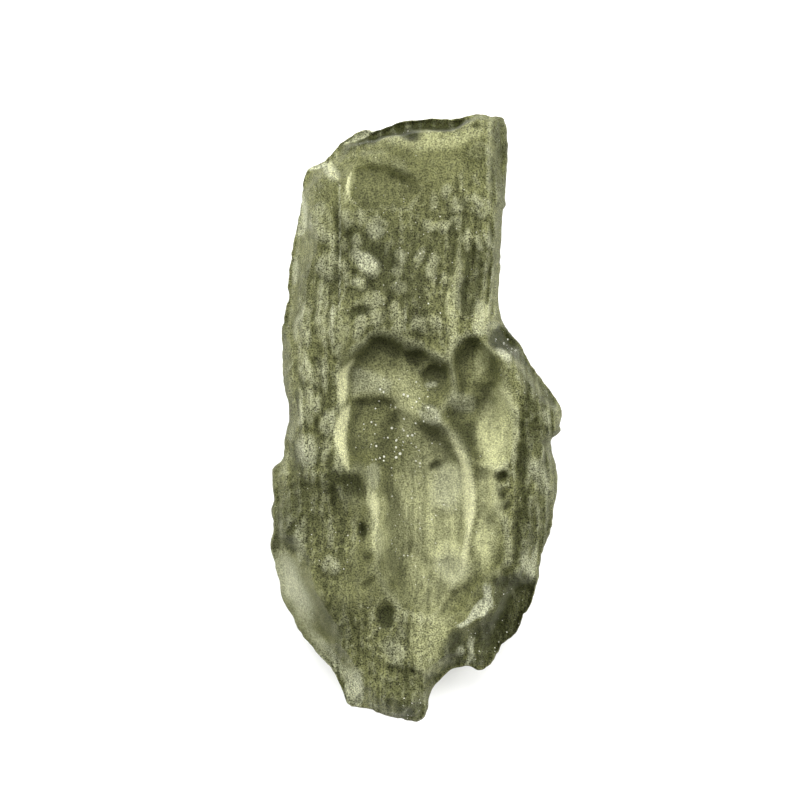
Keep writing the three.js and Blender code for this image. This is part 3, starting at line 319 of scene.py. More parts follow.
# Patches of tone with a drawn border: kind, strength, width over which the border fades in, and closed
# line. The kinds lay painted shade, painted sheen and highlight over the frosted skin, or painted light on
# the lips and walls of hollows, where light falls on them and shines through the thin glass
PATCHES = [
    ("lip", 0.75, 0.4, [
        (-3.6, 3.7), (-4.5, 3.05), (-4.85, 2.3), (-4.8, 1.3), (-4.55, 0.65), (-4.1, 0.8),
        (-3.9, 1.6), (-3.85, 2.6), (-3.6, 3.2)]),
    ("lip", 0.8, 0.3, [
        (-4.5, 0.6), (-4.9, -0.3), (-4.95, -1.3), (-4.6, -2.4), (-4.15, -3.2), (-3.9, -3.1),
        (-4.0, -2.2), (-4.05, -1.0), (-3.85, 0.2), (-3.9, 0.9), (-4.2, 0.7)]),
    ("lip", 0.85, 0.4, [
        (1.6, -0.5), (2.3, -1.1), (2.9, -2.0), (3.3, -3.0), (3.6, -3.9), (3.7, -5.0),
        (3.6, -6.0), (3.1, -6.8), (2.7, -6.0), (2.6, -4.2), (2.5, -3.0), (2.1, -1.9)]),
    ("lip", 0.5, 0.35, [
        (3.5, -6.0), (3.35, -7.4), (3.1, -8.8), (2.7, -9.6), (2.5, -9.0), (2.7, -7.4), (3.0, -6.2)]),
    ("lip", 0.85, 0.12, [
        (-4.25, 13.6), (-4.1, 14.3), (-3.8, 14.7), (-3.9, 14.0), (-3.95, 13.2), (-3.6, 12.6),
        (-4.0, 12.9)]),
    ("lip", 0.35, 0.2, [
        (-5.5, 14.9), (-5.35, 15.4), (-5.0, 15.5), (-4.9, 14.8), (-4.5, 14.2), (-4.7, 14.0),
        (-5.2, 14.4)]),
    ("dark", 0.7, 0.3, [
        (4.6, 5.6), (5.3, 5.6), (6.4, 4.2), (7.2, 2.9), (8.6, 1.0), (8.0, 0.6), (6.6, 2.6),
        (5.9, 3.3), (5.2, 3.7), (4.5, 4.1)]),
    ("dark", 0.2, 0.5, [
        (-3.9, 3.5), (-3.3, 4.3), (-2.7, 4.85), (-1.8, 4.95), (-0.9, 4.55), (0.4, 4.1), (0.0, 3.2),
        (-1.0, 3.0), (-2.0, 2.7), (-2.9, 3.1)]),
    ("dark", 0.55, 0.6, [
        (1.9, 0.2), (2.8, 0.0), (3.8, -0.3), (3.9, -1.6), (3.6, -2.7), (3.1, -2.4), (2.4, -1.3),
        (1.8, -0.5)]),
    ("sheen_and_frost", 0.4, 0.6, [
        (-4.0, 3.1), (-2.9, 3.1), (-1.8, 2.6), (-1.2, 2.2), (-1.6, 1.15), (-3.0, 1.2), (-4.0, 1.1)]),
    ("sheen_and_frost", 0.6, 0.25, [(0.1, 0.8), (0.9, 0.8), (1.4, 0.4), (1.5, -0.35), (0.9, -0.1), (0.4, 0.4)]),
    ("sheen_and_frost", 0.3, 0.4, [(1.9, 1.8), (2.7, 1.6), (3.6, 1.3), (3.5, 0.2), (2.6, 0.2), (1.9, 0.5)]),
    ("sheen_and_frost", 0.4, 0.2, [
        (-3.0, -3.0), (-2.6, -2.6), (-2.1, -3.0), (-2.2, -4.2), (-2.6, -4.4), (-2.9, -3.8)]),
    ("lip", 0.7, 0.1, [
        (-2.75, -4.3), (-2.4, -4.5), (-2.2, -5.3), (-2.2, -6.4), (-2.4, -6.9), (-2.45, -6.2), (-2.7, -5.2)]),
    ("dark", 0.6, 0.25, [
        (-3.6, 16.6), (-2.6, 16.5), (-1.6, 16.75), (-0.8, 17.15), (0.2, 17.1), (1.2, 17.4),
        (2.6, 17.65), (2.6, 17.95), (0.3, 17.95), (-0.8, 17.75), (-2.0, 17.3), (-2.9, 17.0)]),
    ("dark", 0.8, 0.2, [(-0.9, 16.9), (-0.4, 16.4), (0.1, 16.6), (0.4, 17.1), (-0.2, 17.2)]),
    ("dark", 0.45, 0.3, [(-4.6, 16.3), (-3.7, 16.3), (-3.5, 15.8), (-4.2, 15.9)]),
    ("dark", 0.45, 0.6, [
        (-4.9, -3.4), (-4.2, -3.0), (-3.9, -2.2), (-3.3, -1.6), (-2.9, -2.4), (-2.8, -3.6),
        (-2.8, -4.8), (-3.6, -5.2), (-4.7, -4.7)]),
    ("dark", 0.97, 0.3, [
        (4.5, 4.9), (5.2, 5.4), (5.9, 4.7), (6.5, 3.9), (6.0, 3.3), (5.2, 3.7), (4.6, 4.1)]),
    ("dark", 0.45, 0.5, [(6.6, 3.0), (7.5, 2.0), (8.6, 0.8), (7.9, -0.6), (6.8, -0.6), (6.4, 1.2)]),
    ("dark", 0.4, 0.2, [
        (-1.2, -17.2), (-0.4, -16.7), (0.4, -16.9), (0.6, -17.7), (0.2, -18.2), (-0.9, -18.1)]),
    ("sheen_and_frost", 0.85, 0.12, [
        (-4.6, 16.45), (-3.9, 16.9), (-3.0, 17.3), (-2.3, 17.25), (-2.7, 17.05), (-3.3, 16.9),
        (-3.9, 16.55)]),
    ("sheen_and_frost", 0.85, 0.12, [
        (-6.5, 14.9), (-6.1, 15.2), (-5.3, 15.45), (-5.5, 15.1), (-6.0, 14.85), (-6.4, 14.75)]),
    ("sheen_and_frost", 0.5, 0.15, [
        (-6.8, 13.7), (-6.6, 12.8), (-6.45, 11.8), (-6.7, 10.9), (-7.3, 10.9), (-7.1, 12.0)]),
    ("sheen_and_frost", 1.0, 0.15, [
        (2.2, -12.4), (2.9, -12.0), (3.6, -11.3), (4.1, -10.4), (4.4, -9.7), (4.5, -10.8),
        (4.2, -11.8), (3.3, -12.1), (2.7, -12.6)]),
    ("sheen_and_frost", 0.7, 0.12, [(2.9, -14.9), (3.2, -13.6), (3.5, -13.0), (3.45, -14.0), (3.3, -15.0)]),
    ("sheen_and_frost", 0.6, 0.15, [(-4.1, -17.2), (-4.4, -16.2), (-3.5, -15.6), (-3.1, -16.4), (-3.3, -17.4)]),
    ("dark", 0.8, 0.12, [
        (-2.2, -11.4), (-1.9, -11.2), (-1.4, -11.35), (-1.3, -12.1), (-1.5, -12.65), (-2.0, -12.6),
        (-2.3, -12.2)]),
    ("dark", 0.5, 0.5, [
        (-1.3, -11.6), (-0.5, -11.7), (0.0, -12.3), (-0.2, -13.4), (-1.0, -13.6), (-1.4, -12.9)]),
    ("dark", 0.55, 0.2, [
        (4.4, -9.5), (5.6, -9.2), (7.1, -9.3), (7.2, -10.4), (6.6, -12.0), (6.0, -12.9), (5.2, -13.6),
        (4.5, -14.7), (3.7, -14.9), (3.6, -13.4), (4.6, -11.8), (4.6, -10.6)]),
    ("dark", 0.6, 0.3, [
        (0.8, -16.2), (1.6, -15.5), (2.4, -15.1), (3.0, -14.9), (3.0, -13.6), (2.5, -12.7), (1.9, -13.2),
        (1.6, -14.6)]),
    ("sheen_and_frost", 0.4, 0.2, [
        (-3.6, 9.6), (-2.9, 9.8), (-2.3, 9.1), (-2.5, 8.6), (-3.2, 8.5), (-3.6, 9.0)]),
    ("sheen_and_frost", 0.3, 0.15, [
        (-3.0, 11.6), (-2.4, 11.5), (-1.8, 11.1), (-2.0, 10.6), (-2.7, 10.5), (-3.0, 11.0)]),
    ("sheen_and_frost", 0.3, 0.12, [(-3.9, 8.2), (-3.4, 8.3), (-3.2, 8.0), (-3.5, 7.7), (-3.9, 7.8)]),
    ("sheen_and_frost", 0.3, 0.1, [(-1.05, 9.9), (-0.8, 9.9), (-0.75, 9.2), (-1.0, 9.15)]),
    ("sheen_and_frost", 0.6, 0.08, [
        (-4.65, 14.0), (-4.5, 13.8), (-4.45, 10.5), (-4.5, 6.5), (-4.62, 6.4), (-4.6, 10.5)]),
    ("sheen_and_frost", 0.5, 0.08, [(-5.05, 6.9), (-4.92, 6.8), (-4.95, 5.2), (-5.08, 5.1)]),
    ("sheen_and_frost", 0.5, 0.08, [(-0.68, 6.8), (-0.55, 6.8), (-0.62, 5.2), (-0.75, 5.2)]),
    ("sheen_and_frost", 0.5, 0.3, [(-7.6, 9.6), (-7.2, 9.8), (-6.9, 8.8), (-7.2, 7.8), (-7.6, 8.2)])]
# Broad hollows of the underside, in the terms of the ovals
BACK_BOWLS = [
    (-3.5, 9.5, 3.2, 4.2, 15, 0.9, 0.2),
    (2.6, 6.5, 2.6, 3.6, -12, 0.8, -0.2),
    (1.5, 13.5, 3.0, 2.8, 20, 0.8, 0.2),
    (-1.0, 5.0, 2.6, 2.0, 0, 0.5, 0.2),
    (0.5, -4.8, 2.4, 2.2, 10, 0.6, 0.2),
    (4.6, -4.5, 2.6, 4.6, 8, 0.95, 0.2),
    (-5.4, -4.0, 2.4, 4.2, -8, 0.8, -0.2),
    (1.0, -9.5, 3.0, 3.6, 20, 0.9, 0.2),
    (-3.6, -12.0, 2.4, 3.0, 30, 0.7, 0.2),
    (5.8, 1.2, 1.8, 2.4, 40, 0.6, 0.0)]
# Where painted white glints lie thickest, in the same terms as the places of painted shade
GLINT_PLACES = [
    ((-1.3, -0.4, 2.3, 2.6, 0), 0.8, 1.1), ((0.0, -6.0, 2.4, 4.0, 0), 0.8, 0.4),
    ((4.6, -12.4, 1.8, 2.6, -25), 0.8, 0.5), ((-0.2, -17.4, 0.9, 0.8, 0), 0.8, 0.8),
    ((-1.6, 17.0, 2.2, 0.5, 15), 0.8, 0.6), ((5.6, 4.4, 1.0, 0.8, 0), 0.8, 0.8),
    ((-5.4, -7.5, 2.0, 2.4, 0), 0.8, 0.3), ((0.5, 9.0, 4.0, 4.0, 0), 0.8, 0.25)]
# Parts of the face: place as a turned ellipse, softness of its border
PARTS = {
    "left": ((-6.6, -5.5, 2.4, 8.0, 0), 0.7),
    "right": ((6.9, -4.0, 1.7, 8.0, 0), 0.7),
    "lower": ((-2.0, -14.2, 3.6, 3.0, 0), 0.7),
    "middle": ((0.4, -6.0, 2.4, 5.2, 0), 0.6),
    "upper": ((-0.6, 8.4, 4.4, 4.4, 0), 0.7),
    "upper_left": ((-5.7, 3.5, 1.2, 9.0, 0), 0.7),
    "upper_right": ((3.4, 9.5, 2.0, 5.0, 0), 0.7),
    "chamfer": ((-7.0, -11.0, 1.6, 3.0, 25), 0.4)}
BROKEN_PLACES = [
    ((5.0, -12.4, 2.0, 2.6, -28), 0.4), ((5.8, -10.4, 1.6, 1.2, 0), 0.4),
    ((5.4, 4.4, 0.9, 0.8, 0), 0.6)]
# How far each part is drawn out into striae
DRAWN_PARTS = {
    "left": 0.7, "lower": 0.5, "right": 0.8, "upper": 0.4, "upper_left": 0.6, "upper_right": 0.6,
    "rim": 0.3, "middle": 0.8}
# Small scoops and cobbles side by side: width, length, lean and which pattern
LONG_SCOOPS = (1.15, 2.8, 0.05, 3)
ROUGH_CHIPS = (0.55, 0.9, 0.2, 5)
COBBLES = (0.95, 1.15, 0, 8)
LONG_COBBLES = (0.95, 1.9, 0.03, 4)
NARROW_COBBLES = (0.6, 1.6, 0.08, 6)
FINE_SCOOPS = (0.4, 0.55, 0, 11)
BORDER_SCOOPS = (0.7, 1.3, 0.1, 17)
BACK_SCOOPS = (1.7, 3.4, 0.1, 21)
SMALL_BACK_SCOOPS = (0.9, 1.5, 0.1, 25)
FINE_BACK_SCOOPS = (0.45, 0.7, 0, 13)
# Random grain: width, length and seed
STRIAE = (0.17, 3.4, 3)
WIDE_STRIAE = (0.36, 2.2, 12)
SKIN_GRAIN = (0.3, 0.36, 5)
FINE_GRAIN = (0.15, 0.2, 7)
BORDER_GRAIN = (0.2, 0.3, 18)
BACK_GRAIN = (0.3, 1.6, 9)
DARK_STREAKS = (0.22, 2.8, 14)
DARK_CLOUDS = (1.1, 1.7, 8)
HIGHLIGHT_GRAIN = (0.35, 0.45, 6)
WIDE_NOTCHES = (0.8, 0.7, 19)
NARROW_NOTCHES = (0.3, 0.26, 20)
# Slow waves: height, radians a millimetre across, the same along, and start
RIM_WAVES = [(0.4, 0, 0.28, 0.9), (0.25, 0.55, 0.3, 0), (0.15, 0.7, 0.9, 1)]
FACE_WAVES = [
    (0.15, 0.9, 0.35, 1.0), (0.12, -0.5, 0.8, 2.2), (0.08, 1.7, -0.6, 0.5), (0.07, 0.8, 1.5, 4.0)]
SHOULDER_WAVE = [(0.8, 0.5, 0.55, 1.5)]
BACK_SHOULDER_WAVE = [(0.9, -0.4, 0.5, 0)]
PUSH_ACROSS = [(0.2, 0.6, 0.85, 0.4), (0.09, -1.1, 2.1, 2.0)]
PUSH_ALONG = [(0.18, 1.0, -0.45, 1.3), (0.09, 2.4, 0.9, 0.2)]
STRIAE_BEND = [(0.25, 0, 0.35, 0.6)]
# Depths and heights of the small forms
LEFT_SCOOP_DEPTH = 0.6
RIGHT_SCOOP_DEPTH = 0.5
LOWER_SCOOP_DEPTH = 0.35
CHIP_DEPTH = 0.65
COBBLE_HEIGHT = 0.3
FINE_SCOOP_DEPTH = 0.2
STRIAE_DEPTH = 0.15
WIDE_STRIAE_SHARE = 0.6
GRAIN_DEPTH = 0.08
FINE_GRAIN_DEPTH = 0.06
BORDER_SCOOP_DEPTH = 0.28
BORDER_GRAIN_DEPTH = 0.12
BACK_SCOOP_DEPTH = 0.45
SMALL_BACK_SCOOP_DEPTH = 0.22
FINE_BACK_DEPTH = 0.06
BACK_BOW_ACROSS = 0.008
BACK_BOW_ALONG = 0.003
# Small scoops: the numbers that mix a cell's place into a random one, how far a scoop is pushed
# off the middle of its cell, and its mean radius
CELL_MIX = (127.1, 311.7, 74.7)
CELL_STRETCH = 43758.5453
CELL_PUSH = 0.7
CELL_RADIUS = 0.85
# How often the relief is smoothed: for the skin, to find its grooves, and to find its hollows
SKIN_PASSES = 3
GROOVE_PASSES = 16
HOLLOW_PASSES = 150
# Distances in from the outline over which the relief of the face, its rougher border and the
# relief of the underside fade in, and between which the skin turns less busy. Then the rise of
# the crown from which the relief has its full depth, the least rise of the face, and how softly
# the facets end
RELIEF_FADE = 0.45
BORDER_FADE = 0.3
BACK_FADE = 0.7
BUSY_RIM = (1.8, 0.8)
FULL_RELIEF_RISE = 1.8
THINNEST_RISE = 0.3
FACET_SOFTNESS = 0.4
# The fourth power of the radius at which a lump ends, the radius from which the underside is
# fully hollowed round the resting spot, and the notches of the outline: how far in they reach,
# and their depth as a share of the place across and along
LUMP_FOOT = 2.8
SPOT_BORDER = 1.6
NOTCH_REACH = 0.5
NOTCH_ACROSS = 0.022
NOTCH_ALONG = 0.01
# Strengths of tone: painted shade in grooves, between the upper lumps, along the outline and on the
# upper walls of hollows, painted highlight on crests and lumps, painted glow of light through thin
# glass, and random darker streaks and clouds. Those of grooves, crests and thin glass are for each
# millimetre of relief, and the bands are those of the random grain over which a tone fades in
GROOVE_SHADE = 6
MOST_GROOVE_SHADE = 0.7
BORDER_TONE = 1.25
STRIAE_BAND = (0.35, 0.75)
STREAK_BAND = (0.45, 0.75)
CLOUD_BAND = (0.35, 0.9)
STREAK_DARKNESS = 0.36
CLOUD_DARKNESS = 0.28
GAP_SHADE = 0.2
GAP_LUMP_HEIGHT = 0.2
EDGE_SHADE = 0.2
EDGE_WIDTH = 0.3
GLOW_OVER_DARK = 0.6
DARK_OVER_CREST = 0.6
WALL_SIDEWAYS = 0.2
WALL_MARGIN = 0.25
THIN_GLOW = 0.25
MOST_THIN_GLOW = 0.5
CREST_HIGHLIGHT = 3
MOST_CREST_HIGHLIGHT = 0.34
UPPER_CREST_LOSS = 0.12
LUMP_HIGHLIGHT = 0.16
LEFT_LUMP_HIGHLIGHT = 0.12
HIGHLIGHT_SPREAD = (0.1, 1.3)
# Colours in linear red, green and blue: the glass, the painted glow of light through thin glass, the
# painted light on lips, the painted sheen over the frosted skin, and the painted shade with darker glass
GLASS_TINT = (0.134, 0.138, 0.056)
GLOW_TINT = (0.62, 0.63, 0.34)
LIT_LIP_TINT = (0.78, 0.78, 0.46)
SHEEN_AND_FROST_TINT = (0.40, 0.41, 0.28)
SHADE_AND_DARK_TINT = (0.020, 0.023, 0.006)


def ease(start, end, value):
    """0 before start, 1 after end, and an s-curve between them."""
    t = np.clip((value - start) / (end - start), 0, 1)
    return t * t * (3 - 2 * t)


def smooth_line(points, shares):
    """Points on a uniform Catmull-Rom curve, at shares of its length, or at that many even steps
    where shares is one number: each span is the cubic whose slope at a point is half the step
    between that point's two neighbours."""
    p = np.array(points, float)
    ends = np.vstack([2 * p[0] - p[1], p, 2 * p[-1] - p[-2]])
    t = np.linspace(0, 1, SPAN_STEPS, endpoint=False)[:, None]
    a, b, c, d = ends[:-3, None], ends[1:-2, None], ends[2:-1, None], ends[3:, None]
    spans = 0.5 * (2 * b + (c - a) * t + (2 * a - 5 * b + 4 * c - d) * t ** 2
                   + (3 * b - a - 3 * c + d) * t ** 3)
    line = np.vstack([spans.reshape(-1, 2), p[-1]])
    gone = np.concatenate([[0], np.cumsum(np.linalg.norm(np.diff(line, axis=0), axis=1))])
    at = gone[-1] * (shares if np.ndim(shares) else np.linspace(0, 1, shares))
    return np.stack([np.interp(at, gone, line[:, 0]), np.interp(at, gone, line[:, 1])], -1)


def side_at_heights(points, shares):
    """The points of a side at shares of its rise: x is read from the fine curve at each y."""
    fine = smooth_line(points, SIDE_POINTS)
    rise = np.maximum.accumulate(fine[:, 1])
    y = fine[0, 1] + shares * (fine[-1, 1] - fine[0, 1])
    return np.stack([np.interp(y, rise, fine[:, 0]), y], -1)


def crowded_steps(count):
    """Steps from 0 to 1 that lie closer at both ends: part even steps, part half a cosine wave."""
    t = np.linspace(0, 1, count + 1)
    return (1 - CROWDING) * t + CROWDING * (1 - np.cos(np.pi * t)) / 2


def plan_grid():
    """x and y on a grid of u across and v along: the straight line between the two sides at v,
    plus each end's own departure from its chord, which fades as a power of the distance along."""
    across, along = crowded_steps(COLUMNS), crowded_steps(ROWS)
    left = side_at_heights(LEFT_SIDE, along)[:, None]
    right = side_at_heights(RIGHT_SIDE, along)[:, None]
    lower, upper = smooth_line(LOWER_END, across)[None], smooth_line(UPPER_END, across)[None]
    u, v = across[None, :, None], along[:, None, None]
    spot = (1 - u) * left + u * right
    spot = spot + (1 - v) ** END_REACH * (lower - (1 - u) * left[0] - u * right[0])
    spot = spot + v ** END_REACH * (upper - (1 - u) * left[-1] - u * right[-1])
    return spot[..., 0], spot[..., 1]


def foot(x, y, start, end):
    """The share of a straight piece where the foot of the perpendicular to it lies, kept within
    the piece, and how far across and along from the place it lies."""
    step = end - start
    t = np.clip(((x - start[0]) * step[0] + (y - start[1]) * step[1]) / (step @ step), 0, 1)
    return t, start[0] + t * step[0] - x, start[1] + t * step[1] - y


def nearest_on_line(x, y, line):
    """Distance to a polyline, and the share of it where the nearest point lies."""
    best, share = np.full(x.shape, np.inf), np.zeros(x.shape)
    for number, (start, end) in enumerate(zip(line[:-1], line[1:])):
        t, dx, dy = foot(x, y, start, end)
        distance = np.hypot(dx, dy)
        share = np.where(distance < best, (number + t) / (len(line) - 1), share)
        best = np.minimum(distance, best)
    return best, share


def outline_distance(x, y):
    """Distance in from the outline, exactly 0 on the grid's four borders."""
    sides = [smooth_line(side, 4 * len(side)) for side in (LEFT_SIDE, RIGHT_SIDE, LOWER_END, UPPER_END)]
    edge = np.minimum.reduce([nearest_on_line(x, y, side)[0] for side in sides])
    edge[[0, -1]] = 0
    edge[:, [0, -1]] = 0
    return edge


def in_ellipse(x, y, ellipse):
    """A place in the terms of a turned ellipse, where a radius of 1 is its lip."""
    cx, cy, half_width, half_length, turn = ellipse[:5]
    angle = np.radians(turn)
    p = ((x - cx) * np.cos(angle) + (y - cy) * np.sin(angle)) / half_width
    q = ((y - cy) * np.cos(angle) - (x - cx) * np.sin(angle)) / half_length
    return p, q


def lip_distance(x, y, points):
    """For a closed smooth line: distance in from it, 0 outside, and how far upward its nearest
    point lies. A place is inside where a level line from it crosses the closed line an odd number
    of times."""
    ring = smooth_line(points + points[:1], 5 * len(points))
    best, up = np.full(x.shape, np.inf), np.zeros(x.shape)
    inside = np.zeros(x.shape, bool)
    for start, end in zip(ring[:-1], ring[1:]):
        _, dx, dy = foot(x, y, start, end)
        distance = np.hypot(dx, dy) + 1e-9
        up = np.where(distance < best, dy / distance, up)
        best = np.minimum(distance, best)
        if start[1] != end[1]:
            crossing = start[0] + (y - start[1]) * (end[0] - start[0]) / (end[1] - start[1])
            inside ^= ((start[1] > y) != (end[1] > y)) & (x < crossing)
    return np.where(inside, best, 0), up


def hollow_depth(away, up, hollow):
    """Depth along a parabola from the lip to the foot of the wall, whose width is less by the
    steepness where the lip lies above, and more by it where it lies below."""
    depth, wall, _, steepness, _ = hollow
    share = np.clip(away / (wall * (1 - steepness * up)), 0, 1)
    return depth * (1 - (1 - share) ** 2)


def bowl_depth(x, y, bowl):
    """Depth times one less the squared radius, which is raised to a power that grows from 1.1 in
    the upper half to 2 at the lower end, so that the upper lip is sharp and the lower end soft,
    times one plus the steepness for each half length upward."""
    p, q = in_ellipse(x, y, bowl)
    inside = np.clip(1 - p * p - q * q, 0, None)
    return bowl[5] * inside ** (1.1 + 0.9 * np.clip(-q, 0, 1)) * (1 + bowl[6] * q)


def lump_height(x, y, lump):
    """Height times one less a share of the fourth power of the radius, so that the top is broad."""
    p, q = in_ellipse(x, y, lump)
    return lump[5] * np.clip(1 - (p * p + q * q) ** 2 / LUMP_FOOT, 0, None)


def furrow_depth(x, y, furrow):
    """A parabola across the line, whose depth and width follow the root of a sine along it."""
    half_width, depth, points = furrow
    distance, share = nearest_on_line(x, y, smooth_line(points, FURROW_POINTS))
    spindle = np.sqrt(np.maximum(np.sin(np.pi * share), 1e-4))
    return depth * spindle * np.clip(1 - (distance / (half_width * spindle)) ** 2, 0, None)


def area(x, y, ellipse, softness):
    """1 inside a turned ellipse, falling on an s-curve to 0 over the softness of its lip."""
    p, q = in_ellipse(x, y, ellipse)
    return ease(0, 1, (1 + softness / 2 - np.hypot(p, q)) / softness)


def placed(x, y, rows):
    """The strength of each row times its area."""
    return [strength * area(x, y, place, softness) for place, softness, strength in rows]


def cell_number(i, j, kind):
    """A fixed number from 0 to 1 for a cell: the far decimals of a sine."""
    value = np.sin(i * CELL_MIX[0] + j * CELL_MIX[1] + kind * CELL_MIX[2]) * CELL_STRETCH
    return value - np.floor(value)


def scoop_field(x, y, width, length, lean, kind):
    """Small scoops on an uneven lattice: the deepest of the nine paraboloids round each place."""
    gx, gy = (x + lean * y) / width, y / length
    deepest = np.zeros(x.shape)
    for di in (-1, 0, 1):
        for dj in (-1, 0, 1):
            i, j = np.floor(gx) + di, np.floor(gy) + dj
            cx = i + 0.5 + CELL_PUSH * (cell_number(i, j, kind) - 0.5)
            cy = j + 0.5 + CELL_PUSH * (cell_number(i, j, kind + 1) - 0.5)
            radius = CELL_RADIUS * (0.75 + 0.5 * cell_number(i, j, kind + 2))
            depth = 0.5 + 0.5 * cell_number(i, j, kind + 3)
            reach = ((gx - cx) ** 2 + (gy - cy) ** 2) / radius ** 2
            deepest = np.maximum(deepest, depth * (1 - reach))
    return deepest


def grain(x, y, width, length, seed):
    """Smooth random heights from 0 to 1: numbers on a lattice, blended by s-curves between nodes."""
    nodes = np.random.default_rng(seed).random((GRAIN_NODES, GRAIN_NODES))
    gx, gy = x / width, y / length
    i, j = np.floor(gx).astype(int), np.floor(gy).astype(int)
    fx, fy = ease(0, 1, gx - i), ease(0, 1, gy - j)
    i, j, k, m = i % GRAIN_NODES, j % GRAIN_NODES, (i + 1) % GRAIN_NODES, (j + 1) % GRAIN_NODES
    low = nodes[j, i] * (1 - fx) + nodes[j, k] * fx
    high = nodes[m, i] * (1 - fx) + nodes[m, k] * fx
    return low * (1 - fy) + high * fy


def waves(x, y, rows):
    """A sum of slow sine waves over the plan."""
    return sum(size * np.sin(across * x + along * y + start) for size, across, along, start in rows)


def bent(x, y):
    """The same place, pushed about a little, so that no hollow is a true ellipse."""
    return x + waves(x, y, PUSH_ACROSS), y + waves(x, y, PUSH_ALONG)


def shoulder(edge, width):
    """A quarter circle from 0 at the outline to 1 at the full width."""
    return np.sqrt(1 - (1 - np.clip(edge / width, 0, 1)) ** 2)


def rim_height(x, y):
    """Height of the outline: a mean and three slow waves."""
    return RIM_HEIGHT + waves(x, y, RIM_WAVES)


def crown_height(x, y, edge):
    """The face before it is hollowed: a low arch with slow waves, rounded down to the outline,
    and cut by the facets, each a power of the distance in from the outline."""
    face = CROWN_HEIGHT - CROWN_FALL * ((y - CROWN_MIDDLE) / HALF_LENGTH) ** 2 + waves(x, y, FACE_WAVES)
    height = face * shoulder(edge, FACE_SHOULDER + waves(x, y, SHOULDER_WAVE))
    for place, width, rise, hollow in FACETS:
        cut = rise * (edge / width) ** hollow
        height = height - area(x, y, place, FACET_SOFTNESS) * np.clip(height - cut, 0, None)
    return height


def mixed(values):
    """Strengths from 0 to 1 laid over each other: one less the product of what each leaves."""
    return 1 - np.prod([1 - np.clip(value, 0, 1) for value in values], axis=0)


def smoothed(values, times):
    """Each value of the grid blended with its four neighbours, again and again."""
    for _ in range(times):
        wide = np.pad(values, 1, mode="edge")
        values = (2 * values + wide[:-2, 1:-1] + wide[2:, 1:-1] + wide[1:-1, :-2] + wide[1:-1, 2:]) / 6
    return values


def face_parts(x, y, edge):
    """How far each place belongs to each part of the face, is broken, lies near the outline, is
    busy with small forms and is drawn out into striae, all from 0 to 1."""
    part = {name: area(x, y, place, softness) for name, (place, softness) in PARTS.items()}
    part["broken"] = np.maximum.reduce([area(x, y, *row) for row in BROKEN_PLACES])
    part["rim"] = ease(*BUSY_RIM, edge)
    margins = sum(part[name] for name in ("left", "right", "lower", "upper", "upper_left", "upper_right"))
    part["busy"] = np.clip(0.3 + margins + 0.8 * part["rim"], 0, 1) * (1 - 0.5 * part["chamfer"])
    drawn = mixed([strength * part[name] for name, strength in DRAWN_PARTS.items()])
    part["drawn"] = drawn * (1 - part["chamfer"])
    return part


def face_hollow(x, y, part):
    """Depth of the face: the deepest of the scoops, hollows and ovals, plus the steps, chips, pits
    and furrows sunk into them. With it the painted shade on each hollow's upper wall, which fades from
    the lip as a bell curve and shows only where that hollow is about the deepest."""
    bx, by = bent(x, y)
    sides = np.maximum.reduce([
        LEFT_SCOOP_DEPTH * part["left"] * (1 - part["chamfer"]),
        RIGHT_SCOOP_DEPTH * part["right"], LOWER_SCOOP_DEPTH * part["lower"]])
    rows = HOLLOWS + STEPS
    found = [lip_distance(x, y, row[4]) for row in rows]
    depths = [hollow_depth(away, up, row) for (away, up), row in zip(found, rows)]
    deepest = np.maximum.reduce([sides * scoop_field(bx, by, *LONG_SCOOPS)] + depths[:len(HOLLOWS)])
    wall_shades = []
    # Painted shade on the upper wall of each hollow
    for number, ((away, up), row) in enumerate(zip(found, rows)):
        shown = row[2] * (away > 0) * np.clip(up + WALL_SIDEWAYS, 0, 1) * np.exp(-(away / row[1]) ** 2)
        if number < len(HOLLOWS):
            shown = shown * ease(-WALL_MARGIN, 0, depths[number] - deepest)
        wall_shades.append(shown)
    hollow = np.maximum.reduce([deepest] + [bowl_depth(bx, by, oval) for oval in OVALS])
    hollow = hollow + sum(depths[len(HOLLOWS):])
    hollow = hollow + CHIP_DEPTH * part["broken"] * scoop_field(bx, by, *ROUGH_CHIPS)
    hollow = hollow + sum(bowl_depth(bx, by, pit) for pit in PITS)
    return hollow + sum(furrow_depth(x, y, furrow) for furrow in FURROWS), wall_shades


